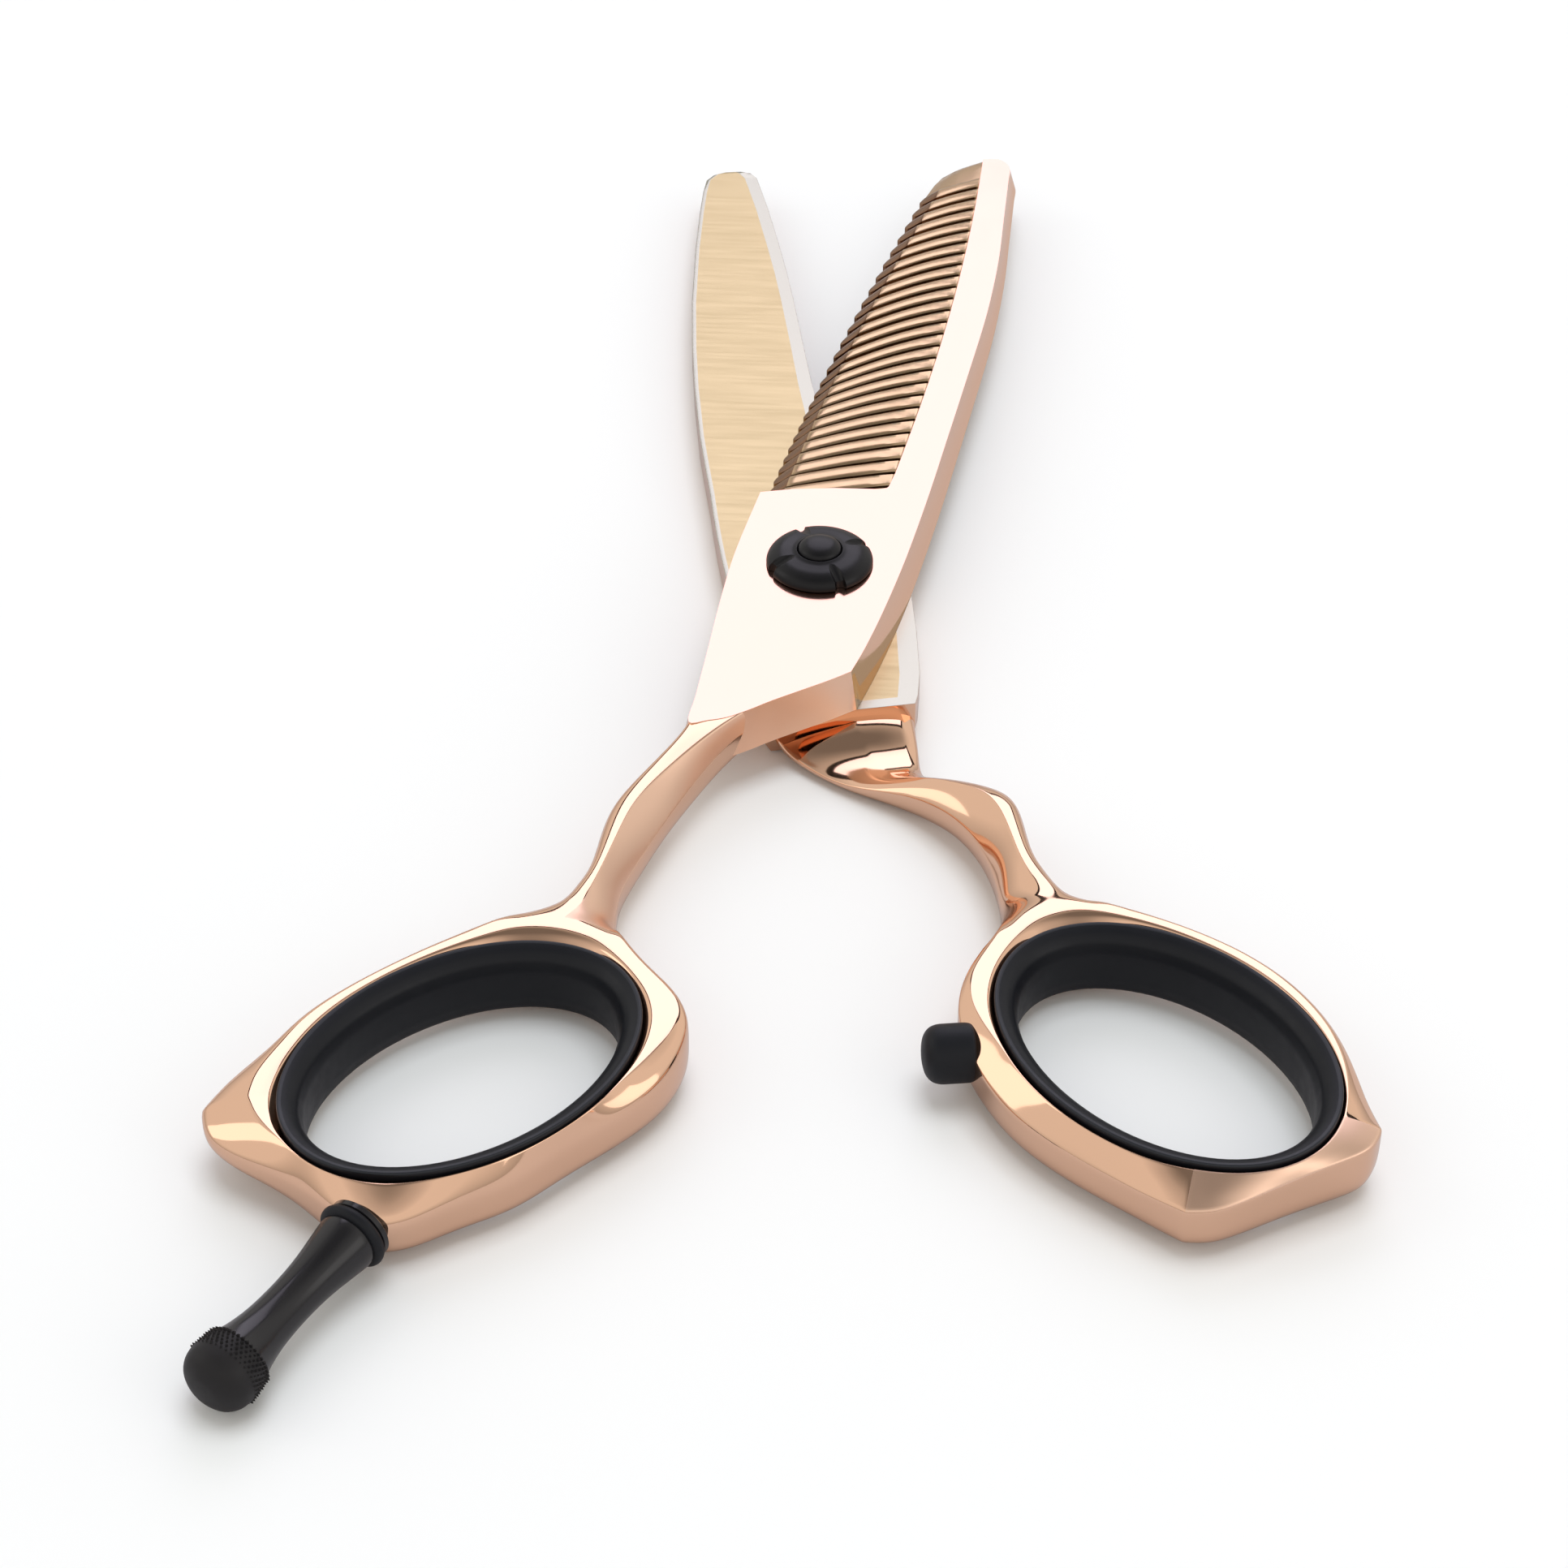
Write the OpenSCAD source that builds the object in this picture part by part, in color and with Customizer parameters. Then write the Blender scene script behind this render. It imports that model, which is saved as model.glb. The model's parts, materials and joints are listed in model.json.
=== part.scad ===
// Thinning shears: a plain cutting half and a toothed comb half on one pivot.
// Millimetres. The origin is on the pivot axis at the underside of the cutting half,
// +Y runs along the middle line between the two blades, +Z is the comb side.

/* [Overall] */
// Angle between the halves as drawn
open_angle = 16.8; // [2:0.1:60]
// Thickness of each half at the pivot
half_thick = 3.4; // [3:0.1:4]
// Thickness of each blade at its tip
tip_thick = 2.2; // [1.4:0.1:3]

/* [Comb] */
// Number of slots in the comb blade
slot_count = 26; // [10:1:28]
// Distance from slot to slot
slot_pitch = 2.185; // [1.9:0.005:2.2]
// Width of one slot
slot_w = 0.6; // [0.3:0.05:0.9]
// Where the first slot starts along the blade
first_slot_y = 12.5; // [12.3:0.1:14]

/* [Rings] */
// Length of the opening in each ring
bore_long = 26.6; // [24:0.1:27]
// Width of the opening in each ring
bore_short = 18.5; // [17:0.1:19]
// Thickness of the rings
ring_thick = 5.2; // [4.6:0.1:6]

/* [Inserts] */
// Wall of the rubber inserts
insert_wall = 0.85; // [0.5:0.05:1.2]
// How far the lips reach over the ring
lip_reach = 0.95; // [0.3:0.05:1]
// Thickness of the lips
lip_thick = 0.5; // [0.2:0.05:0.6]

/* [Pivot] */
// Diameter of the tension dial
dial_d = 9.0; // [8.4:0.1:9.4]
// Height of the dial over the comb half
dial_h = 2.0; // [1.6:0.1:2.6]
// Diameter of the bolt where the comb half turns
journal_d = 4.4; // [4.2:0.1:4.6]
// Diameter of the bolt's threaded end
thread_d = 3.6; // [3.2:0.1:3.7]
// Diameter of the bolt's flat head
head_d = 7.6; // [7:0.1:8]
// Radial clearance of everything that turns
turn_gap = 0.04; // [0.02:0.01:0.08]

/* [Finger rest] */
// Length of the finger rest outside the O-ring
rest_len = 17; // [12:0.1:18]
// Diameter of its round end
rest_end_d = 5.3; // [4.6:0.1:6]
// Diameter of its neck
rest_neck_d = 3.3; // [2.8:0.1:4]

/* [Bumper] */
// Diameter of the stop bumper
bumper_d = 4.4; // [4:0.1:4.6]
// How far it stands out of the thumb ring
bumper_out = 3.85; // [3.4:0.05:3.9]

/* [Hidden] */
$fn = 48;

rose_gold = [0.86, 0.60, 0.49];
soft_black = [0.07, 0.07, 0.08];
steel = [0.75, 0.75, 0.76];
bronze = [0.72, 0.52, 0.28];
nylon = [0.93, 0.92, 0.88];

ride_z = half_thick;                 // the plane where the two halves slide on each other
ride_gap = 0.03;                     // hollow grinding keeps the flats this far apart
top_z = 2 * half_thick;
half_turn = open_angle / 2;
ring_half = ring_thick / 2;
slack = 1;                           // cutters run this far past what they cut

// Ring openings, in each half's own closed frame: centre and angle of the long axis
finger_c = [-13.2, -63.3];
finger_dir = 52;
thumb_c = [19.35, -59.7];
thumb_dir = -54.3;

// Finger rest: where it leaves the ring, and its direction
rest_root = [-16.2, -78.6];
rest_dir = 249.5;
rest_droop = 2.6;                    // its round end hangs a little lower than the ring
// Bumper: where its axis meets the thumb ring, pointing at the finger ring
bumper_root = [5.9, -57.1];
bumper_z = 0.2;                      // a little over the ride plane

// Heights in the pivot stack
head_h = 1.2;
recess_floor = ride_z + 1.6;
thrust_top = recess_floor + 0.3;
spring_top = thrust_top + 0.5;
plate_top = spring_top + 0.4;
dial_z = top_z + 0.12;
recess_d = 7.8;
glide_d = 9.6;
glide_t = 0.2;
flats_w = 3.8;
pin_d = 1;
pin_at = 2.85;

// Outlines in each half's closed frame, clockwise from above
comb_heel_outline = [[-7.1, 8.9], [-7.3, 0], [-7.0, -7], [-6.5, -14], [-6.1, -20], [-5.8, -23.4],
    [-3, -22.2], [-1.5, -20.6], [0, -19], [2, -17.5], [5.5, -14.3], [6, -11], [6.5, -6],
    [6.9, 0], [7.1, 5], [7.3, 12], [3.2, 11.5]];
comb_heel_spine = [[5.5, -14.3], [6, -11], [6.5, -6], [6.9, 0], [7.1, 5], [7.2, 9]];
cutting_heel_outline = [[3.2, 16], [5, 9], [7.3, 3], [7.9, -2.5], [7.7, -5], [7.4, -10],
    [7.0, -13.5], [6.4, -15.6], [-6, -16.6], [-6.9, -12], [-7.5, 0], [-8.1, 10], [-8.2, 16]];
finger_ring_points = [[-6.2, -43], [-5.7, -46], [-4.6, -48.8], [-2.5, -51], [-0.2, -53],
    [1.7, -55.6], [1.9, -58.4], [1.0, -61.8], [-1.1, -65.2], [-3.9, -68.9], [-6.8, -72.9],
    [-10.3, -75.8], [-13.0, -78.2], [-15.4, -79.1], [-18.4, -78.1], [-20.6, -76.8],
    [-23.2, -75.6], [-26.2, -74.6], [-28.6, -73.2], [-29.4, -71], [-28.9, -68.5],
    [-27.3, -65.3], [-25.5, -61], [-23, -57.2], [-19.8, -53.4], [-16.3, -49.9],
    [-13.2, -46.9], [-10.6, -43.8]];
thumb_ring_points = [[13.0, -40.0], [14.6, -42.2], [17, -43.9], [20.1, -45.6], [23.2, -47.5],
    [26.3, -50], [28.8, -52.9], [30.6, -56.1], [31.9, -60], [32.6, -63.9], [32.9, -67.3],
    [32.7, -69.9], [31.8, -71], [26.5, -73], [20.6, -75.2], [18.3, -74.9], [14.4, -71.6],
    [10.6, -67.9], [7.9, -64.4], [6.3, -61], [5.2, -57.3], [5.0, -54], [6.2, -50.6], [8, -47.8],
    [9.7, -45], [10.1, -42.5], [10.1, -40.5]];
// Shank stations: x and y of the left edge and of the right edge, lowest and highest z
comb_shank = [[-6.3, -15, 5.4, -12, 0.05, 3.35], [-6.1, -20, 1.6, -17, 0.05, 3.35],
    [-6.3, -24.3, -2.3, -22.6, -0.9, 3.3], [-8.2, -28.8, -4.2, -27, -1.9, 2.9],
    [-9.9, -33.3, -5.5, -31.8, -2.2, 2.6], [-9.9, -37.5, -6.4, -36.5, -2.3, 2.5],
    [-9.8, -41.5, -7.1, -41.5, -2.4, 2.5], [-11.2, -45.5, -6.3, -45.8, -2.5, 2.5]];
cutting_shank = [[-6.4, -14, 6.4, -14, -3.35, -0.05], [-3.9, -19.2, 6.2, -19.2, -3.35, -1.5],
    [0, -22.8, 6.3, -22.6, -3.3, -1.3], [4.3, -26, 8.2, -26.2, -3.0, 0.7],
    [7.4, -30, 12.3, -29.9, -2.6, 2.3], [9.2, -34.2, 12.9, -33.8, -2.5, 2.5],
    [9.9, -38.4, 13.2, -38.2, -2.5, 2.5], [9.9, -42, 15.2, -42.8, -2.5, 2.5]];
// Blade stations: y, then the edges at that y
comb_blade = [[8, -7.2, 3.2, 7.2], [13, -7.1, 3.4, 7.3], [20, -6.8, 3.5, 7.3], [30, -6.3, 3.7, 7.3],
    [41, -5.7, 3.7, 7.25], [48, -5.2, 3.5, 7.0], [54, -4.5, 3.2, 6.6], [60, -3.8, 2.8, 6.0],
    [65, -3.2, 2.6, 5.5], [69, -2.7, 2.4, 5.1], [71.2, -1.9, 2.2, 4.9], [72.6, -0.2, 2.2, 4.3],
    [73.2, 1.4, 2.2, 3.4]];
cutting_blade = [[12, -8.1, 3.6], [25, -8.5, 2.9], [33, -8.45, 2.4], [40, -8.2, 2.2],
    [48, -7.7, 2.0], [53, -7.2, 1.8], [58, -6.7, 1.5], [65, -5.8, 1.0], [69, -5.2, 0.6],
    [71.3, -4.7, 0.35], [72.3, -3.9, -0.2], [72.7, -2.8, -1.2]];
spine_draft = 0.65;                  // the spine wall leans in by this much
bevel_w = 1.5;                       // bevel along the tooth tips and the cutting edge

// Vertical slice through a rounded bar, as fractions of its half width and half height
bar_profile = [for (a = [0:30:330]) let (c = cos(a), s = sin(a))
    [sign(c) * pow(abs(c), 0.6), sign(s) * pow(abs(s), 0.6)]];

// Point on a smooth curve between p1 and p2
function spline_point(p0, p1, p2, p3, t) = 0.5 * (2 * p1 + (p2 - p0) * t
    + (2 * p0 - 5 * p1 + 4 * p2 - p3) * t * t + (3 * p1 - p0 - 3 * p2 + p3) * t * t * t);
// Smooth open curve through points of any length, with n steps between them
function smooth(p, n) = let (last = len(p) - 1) concat([for (i = [0:last - 1], j = [0:n - 1])
    spline_point(p[max(i - 1, 0)], p[i], p[i + 1], p[min(i + 2, last)], j / n)], [p[last]]);
// Unit normal at point i of a closed outline, pointing out of a clockwise one
function out_normal(p, i) = let (n = len(p), d = p[(i + 1) % n] - p[(i + n - 1) % n])
    [-d[1], d[0]] / norm(d);
// Closed outline moved in by d, at height z
function inset(p, d, z) = [for (i = [0:len(p) - 1]) let (q = p[i] - out_normal(p, i) * d)
    [q[0], q[1], z]];
// Blade thickness at y
function blade_thick(y) = y < 20 ? half_thick
    : half_thick + (tip_thick - half_thick) * (y - 20) / 53;
// Point on the ring opening at angle t, moved out by d along the normal, at height z
function bore_point(c, dir, t, d, z) = let (
    a = bore_long / 2, b = bore_short / 2, m = norm([b * cos(t), a * sin(t)]),
    u = a * cos(t) + d * b * cos(t) / m, v = b * sin(t) + d * a * sin(t) / m)
    [c[0] + u * cos(dir) - v * sin(dir), c[1] + u * sin(dir) + v * cos(dir), z];
// One section of a shank, from its station: left x and y, right x and y, lowest and highest z
function shank_section(s) = let (mid = [s[0] + s[2], s[1] + s[3]] / 2,
    side = [s[2] - s[0], s[3] - s[1]] / 2, z = (s[4] + s[5]) / 2, h = (s[5] - s[4]) / 2)
    [for (q = bar_profile) [mid[0] + side[0] * q[0], mid[1] + side[1] * q[0], z + h * q[1]]];
function slot_y(i) = first_slot_y + i * slot_pitch;
// Where the slots end, near the spine
function root_x(y) = 4.03 - 0.0011 * pow(y - 29, 2);
// Middle line of slot i, from its root (t = 0) to past the tooth tips (t = 1)
function slot_line(i, t) = let (drop = min(1.6 + 0.35 * i, 5.5), span = 11.6)
    [root_x(slot_y(i)) - span * t, slot_y(i) - drop * pow(t, 1.6) * 1.4];

// Solid through a row of sections with the same number of points
module loft(rows) {
    n = len(rows[0]);
    last = len(rows) - 1;
    sides = [for (i = [0:last - 1], j = [0:n - 1]) each [
        [i * n + j, (i + 1) * n + (j + 1) % n, i * n + (j + 1) % n],
        [i * n + j, (i + 1) * n + j, (i + 1) * n + (j + 1) % n]]];
    ends = [[for (j = [0:n - 1]) j], [for (j = [n - 1:-1:0]) last * n + j]];
    polyhedron(points = [for (r = rows) each r], faces = concat(sides, ends));
}

// The same, closed on itself
module loft_loop(rows) {
    n = len(rows[0]);
    m = len(rows);
    faces = [for (i = [0:m - 1], j = [0:n - 1]) let (k = (i + 1) % m) each [
        [i * n + j, k * n + (j + 1) % n, i * n + (j + 1) % n],
        [i * n + j, k * n + j, k * n + (j + 1) % n]]];
    polyhedron(points = [for (r = rows) each r], faces = faces);
}

// A ring blank with rounded edges, centred on the ride plane
module ring_blank(outline) {
    levels = [[-1, 0.9], [-0.85, 0.35], [-0.45, 0], [0.45, 0], [0.85, 0.35], [1, 0.9]];
    loft([for (l = levels) let (p = inset(outline, l[1], l[0] * ring_half))
        [for (i = [len(p) - 1:-1:0]) p[i]]]);
}

module ring_opening(c, dir) {
    translate([0, 0, -ring_half - slack])
        linear_extrude(ring_thick + 2 * slack)
            polygon([for (t = [0:7.5:352.5]) let (p = bore_point(c, dir, t, 0, 0)) [p[0], p[1]]]);
}

// Tube that lines a ring opening, with a lip over each face
module ring_insert(c, dir) {
    w = insert_wall;
    h = ring_half;
    r = lip_reach;
    t = lip_thick;
    profile = [[-w, -h * 0.75], [-w * 0.65, -h - t * 0.5], [0, -h - t], [r, -h - t * 0.9],
        [r, -h], [0, -h], [0, h], [r, h], [r, h + t * 0.9], [0, h + t],
        [-w * 0.65, h + t * 0.5], [-w, h * 0.75]];
    loft_loop([for (a = [0:7.5:352.5]) [for (p = profile) bore_point(c, dir, a, p[0], p[1])]]);
}

// Solid tooth blade before the slots are cut; z = 0 is the ride plane
module comb_blade_blank() {
    loft([for (s = comb_blade) let (y = s[0], t = blade_thick(y), low = s[1], root = s[2],
        spine = s[3], bw = min(bevel_w, (root - low) / 2))
        [[low, y, ride_gap], [low, y, t * 0.2], [low + bw, y, t * 0.55], [root, y, t * 0.98],
        [spine, y, t], [spine + spine_draft, y, ride_gap]]]);
}

// Rounded bar from a heel to its ring
module shank(stations) {
    loft([for (s = smooth(stations, 3)) shank_section(s)]);
}

module comb_slots() {
    steps = 6;
    for (i = [0:slot_count - 1]) {
        line = [for (k = [0:steps]) slot_line(i, k / steps)];
        side = [for (k = [0:steps]) let (d = line[min(k + 1, steps)] - line[max(k - 1, 0)])
            [-d[1], d[0]] / norm(d) * slot_w / 2];
        translate([0, 0, -slack])
            linear_extrude(half_thick + 2 * slack)
                polygon(concat([for (k = [0:steps]) line[k] + side[k]],
                    [for (k = [steps:-1:0]) line[k] - side[k]]));
    }
}

module cutting_blade_blank() {
    loft([for (s = cutting_blade) let (y = s[0], t = blade_thick(y), spine = s[1], edge = s[2])
        [[spine, y, 0], [edge, y, 0], [edge, y, -0.15], [edge - 2.6, y, -t * 0.55],
        [spine + (edge - spine) * 0.45, y, -t], [spine + 0.5, y, -t], [spine, y, -t * 0.75]]]);
}

module comb_half_solid() {
    difference() {
        union() {
            translate([0, 0, ride_gap])
                linear_extrude(half_thick - ride_gap) polygon(comb_heel_outline);
            loft([for (p = comb_heel_spine) [[p[0] - 1, p[1], ride_gap],
                [p[0] - 0.02, p[1], half_thick - 0.05], [p[0] + spine_draft, p[1], ride_gap]]]);
            difference() {
                comb_blade_blank();
                comb_slots();
            }
            shank(comb_shank);
            ring_blank(finger_ring_points);
        }
        ring_opening(finger_c, finger_dir);
    }
}

module cutting_half_solid() {
    difference() {
        union() {
            translate([0, 0, -half_thick])
                linear_extrude(half_thick) polygon(cutting_heel_outline);
            cutting_blade_blank();
            shank(cutting_shank);
            ring_blank(thumb_ring_points);
        }
        ring_opening(thumb_c, thumb_dir);
    }
}

// Places something drawn in the comb half's closed frame, with z = 0 on the ride plane
module on_comb_half() {
    translate([0, 0, ride_z]) rotate([0, 0, -half_turn]) children();
}

module on_cutting_half() {
    translate([0, 0, ride_z]) rotate([0, 0, half_turn]) children();
}

// Places something drawn along +Z on the finger rest's axis
module on_rest_axis() {
    on_comb_half() translate([rest_root[0], rest_root[1], 0]) rotate([0, 90 + rest_droop, rest_dir])
        children();
}

module on_bumper_axis() {
    on_cutting_half() translate([bumper_root[0], bumper_root[1], bumper_z]) rotate([0, -90, 0]) children();
}

stud_d = 1.8;
stud_in = 2.6;
rest_collar_d = 4.6;
ring_cord_d = 1.0;
bumper_stem_d = 2.2;
bumper_stem = 1.2;

module cutting_half() {
    color(rose_gold) difference() {
        on_cutting_half() cutting_half_solid();
        translate([0, 0, -slack]) cylinder(d = journal_d, h = top_z);
        translate([0, 0, -slack]) cylinder(d = head_d, h = slack + head_h);
        translate([pin_at, 0, head_h - 0.6]) cylinder(d = pin_d, h = 1.6);
        translate([0, 0, ride_z - glide_t]) cylinder(d = glide_d, h = slack);
        on_bumper_axis() translate([0, 0, -bumper_stem]) cylinder(d = bumper_stem_d, h = 6);
        on_bumper_axis() cylinder(d = bumper_d, h = 6);
    }
}

module comb_half() {
    color(rose_gold) difference() {
        on_comb_half() comb_half_solid();
        cylinder(d = journal_d + 1.2, h = top_z + slack);
        translate([0, 0, recess_floor]) cylinder(d = recess_d, h = half_thick);
        on_rest_axis() translate([0, 0, -stud_in]) cylinder(d = stud_d, h = stud_in + slack);
        on_rest_axis() cylinder(d = rest_collar_d + 1, h = 6);
    }
}

module thumb_insert() {
    color(soft_black) on_cutting_half() ring_insert(thumb_c, thumb_dir);
}

module finger_insert() {
    color(soft_black) on_comb_half() ring_insert(finger_c, finger_dir);
}

// Rubber plug with a domed face
module stop_bumper() {
    r = bumper_d / 2;
    color(soft_black) on_bumper_axis() rotate_extrude()
        polygon([[0, -bumper_stem], [bumper_stem_d / 2, -bumper_stem], [bumper_stem_d / 2, 0],
            [r, 0], [r, bumper_out - 0.5], [r - 0.45, bumper_out - 0.1],
            [r * 0.4, bumper_out], [0, bumper_out]]);
}

// Turned finger rest: collar, waisted shaft and round end
module finger_rest() {
    r = rest_neck_d / 2;
    e = rest_end_d / 2;
    l = rest_len;
    color(soft_black) on_rest_axis() difference() {
        rotate_extrude()
            polygon([[0, ring_cord_d], [rest_collar_d / 2, ring_cord_d], [rest_collar_d / 2, 1.8],
                [r + 0.3, 3.6], [r, 6.2], [r, 9], [r + 0.4, 12], [e - 0.2, 13.5],
                [e, 14.4], [e, l - 2.1], [e * 0.86, l - 0.8], [e * 0.5, l - 0.15], [0, l]]);
        cylinder(d = stud_d, h = 6);
    }
}

module finger_rest_stud() {
    color(steel) on_rest_axis() translate([0, 0, -stud_in]) cylinder(d = stud_d, h = stud_in + 6);
}

module finger_rest_o_ring() {
    color(soft_black) on_rest_axis() translate([0, 0, ring_cord_d / 2]) rotate_extrude()
        translate([stud_d / 2 + 1.2, 0]) circle(d = ring_cord_d, $fn = 24);
}

// Flat head, journal, two flats for the click plate, thread and a domed end
module pivot_bolt() {
    end_z = dial_z + dial_h - 0.35;
    color(steel) difference() {
        rotate_extrude()
            polygon([[0, 0], [head_d / 2, 0], [head_d / 2, head_h], [journal_d / 2, head_h],
                [journal_d / 2, plate_top], [thread_d / 2, plate_top], [thread_d / 2, end_z],
                [thread_d / 2 * 0.7, end_z + 0.3], [0, end_z + 0.42]]);
        for (s = [-1, 1])
            translate([s * (flats_w / 2 + 2), 0, thrust_top + 2]) cube([4, 8, 4], center = true);
        translate([pin_at, 0, head_h - 0.6]) cylinder(d = pin_d, h = 1);
    }
}

module bolt_lock_pin() {
    color(steel) translate([pin_at, 0, head_h - 0.59]) cylinder(d = pin_d - 0.04, h = 1.58);
}

// Flat ring with a square section
module washer(outer, inner, t) {
    rotate_extrude() translate([inner / 2, 0]) square([(outer - inner) / 2, t]);
}

module pivot_bush() {
    color(bronze) translate([0, 0, ride_z + 0.02])
        washer(journal_d + 1.2, journal_d + 2 * turn_gap, recess_floor - ride_z - 0.02);
}

module glide_washer() {
    color(nylon) translate([0, 0, ride_z - glide_t])
        washer(glide_d, journal_d, glide_t - 0.01);
}

module thrust_washer() {
    color(nylon) translate([0, 0, recess_floor])
        washer(recess_d - 0.2, journal_d + 2 * turn_gap, thrust_top - recess_floor - 0.02);
}

// Coned disc spring
module spring_washer() {
    t = 0.2;
    z0 = thrust_top;
    z1 = spring_top;
    color(steel) rotate_extrude()
        polygon([[journal_d / 2 + 0.1, z1 - t], [3.5, z0], [3.5, z0 + t], [journal_d / 2 + 0.1, z1]]);
}

module click_plate() {
    dimples = 12;
    color(steel) difference() {
        translate([0, 0, spring_top]) cylinder(d = recess_d - 0.4, h = plate_top - spring_top);
        translate([0, 0, spring_top - slack]) intersection() {
            cylinder(d = journal_d, h = 3);
            translate([0, 0, 1.5]) cube([flats_w, 8, 4], center = true);
        }
        for (a = [0:360 / dimples:359])
            rotate([0, 0, a]) translate([2.9, 0, plate_top + 0.35]) sphere(d = 1, $fn = 24);
    }
}

module click_balls() {
    color(steel) for (a = [0, 180])
        rotate([0, 0, a]) translate([2.9, 0, plate_top + 0.46]) sphere(d = 0.9, $fn = 24);
}

// Domed nut with four notches in its edge
module tension_dial() {
    r = dial_d / 2;
    rim_h = 0.45;
    groove = 0.35;
    crown = dial_z + dial_h;
    color(soft_black) difference() {
        rotate_extrude()
            polygon([[thread_d / 2 + turn_gap, plate_top + 0.05], [recess_d / 2 - 0.25, plate_top + 0.05],
                [recess_d / 2 - 0.25, dial_z], [r, dial_z], [r, dial_z + rim_h],
                [r * 0.93, dial_z + dial_h * 0.45], [r * 0.78, dial_z + dial_h * 0.7],
                [r * 0.58, dial_z + dial_h * 0.9], [thread_d / 2 + groove + 0.15, crown - 0.05],
                [thread_d / 2 + groove, crown - 0.4], [thread_d / 2 + turn_gap, crown - 0.4]]);
        for (a = [26.5:90:360])
            rotate([0, 0, a]) translate([r - 1.1, -0.45, dial_z + 0.3]) cube([2, 0.9, 2]);
        for (a = [0, 180])
            rotate([0, 0, a]) translate([2.9, 0, plate_top - 0.5]) cylinder(d = 1, h = 1.45);
    }
}

cutting_half();
comb_half();
thumb_insert();
finger_insert();
stop_bumper();
finger_rest();
finger_rest_stud();
finger_rest_o_ring();
pivot_bolt();
bolt_lock_pin();
pivot_bush();
glide_washer();
thrust_washer();
spring_washer();
click_plate();
click_balls();
tension_dial();
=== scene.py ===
"""Looks of the thinning shears: polished halves, rubber inserts, dial, finger rest and studio.

Every shape is drawn in millimetres in the closed frame of its own half (the pivot axis at
x = y = 0, the plane where the halves slide at z = 0) and then placed in the row frame.
"""

import json
import math

import bmesh
import bpy
from bpy.props import FloatProperty, FloatVectorProperty, IntProperty, PointerProperty
from mathutils import Matrix, Vector

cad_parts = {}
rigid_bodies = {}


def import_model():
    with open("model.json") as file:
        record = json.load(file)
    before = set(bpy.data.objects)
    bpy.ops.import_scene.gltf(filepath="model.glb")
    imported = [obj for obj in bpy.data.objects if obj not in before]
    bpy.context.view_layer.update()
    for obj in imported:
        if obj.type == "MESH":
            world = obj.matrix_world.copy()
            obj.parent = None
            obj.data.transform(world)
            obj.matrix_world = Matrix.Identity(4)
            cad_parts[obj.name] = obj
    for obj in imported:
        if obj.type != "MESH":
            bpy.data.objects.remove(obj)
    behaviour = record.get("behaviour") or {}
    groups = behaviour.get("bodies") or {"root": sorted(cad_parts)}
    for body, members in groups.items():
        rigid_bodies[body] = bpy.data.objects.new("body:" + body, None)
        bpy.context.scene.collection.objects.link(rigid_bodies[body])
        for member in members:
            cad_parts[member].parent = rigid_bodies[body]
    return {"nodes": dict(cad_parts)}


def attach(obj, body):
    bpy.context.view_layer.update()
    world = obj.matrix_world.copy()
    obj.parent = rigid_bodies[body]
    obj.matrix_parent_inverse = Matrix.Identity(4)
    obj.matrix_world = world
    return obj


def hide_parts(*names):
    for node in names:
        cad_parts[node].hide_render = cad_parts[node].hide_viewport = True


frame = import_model()

bl_info = {
    "name": "Thinning Shears",
    "version": (1, 0, 0),
    "blender": (4, 5, 0),
    "location": "View3D > Sidebar > Shears",
    "description": "Builds a pair of thinning shears piece by piece",
    "category": "Object",
}

MM = 0.001
RIDE_Z = 3.4
HALF_TURN = math.radians(8.4)
RIDE_GAP = 0.03
# Thickness of the blades: where they start to thin, and how much per millimetre
THIN_FROM, THIN_RATE = 20.0, 1.2 / 53
# The slots end on the bow ROOT_X - ROOT_BOW (y - ROOT_Y)^2
ROOT_X, ROOT_BOW, ROOT_Y = 4.03, 0.0011, 29.0
# The teeth end on the bow TIP_X + TIP_LEAN (y - TIP_Y) + TIP_BOW (y - TIP_Y)^2
TIP_X, TIP_LEAN, TIP_BOW, TIP_Y = -7.15, 0.0293, 0.00088, 13.0
# A tooth bends by DROP_FIRST at the heel and DROP_STEP more for each next one, up to DROP_MOST
DROP_FIRST, DROP_STEP, DROP_MOST, DROP_POWER = 2.24, 0.49, 7.7, 1.6

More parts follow.
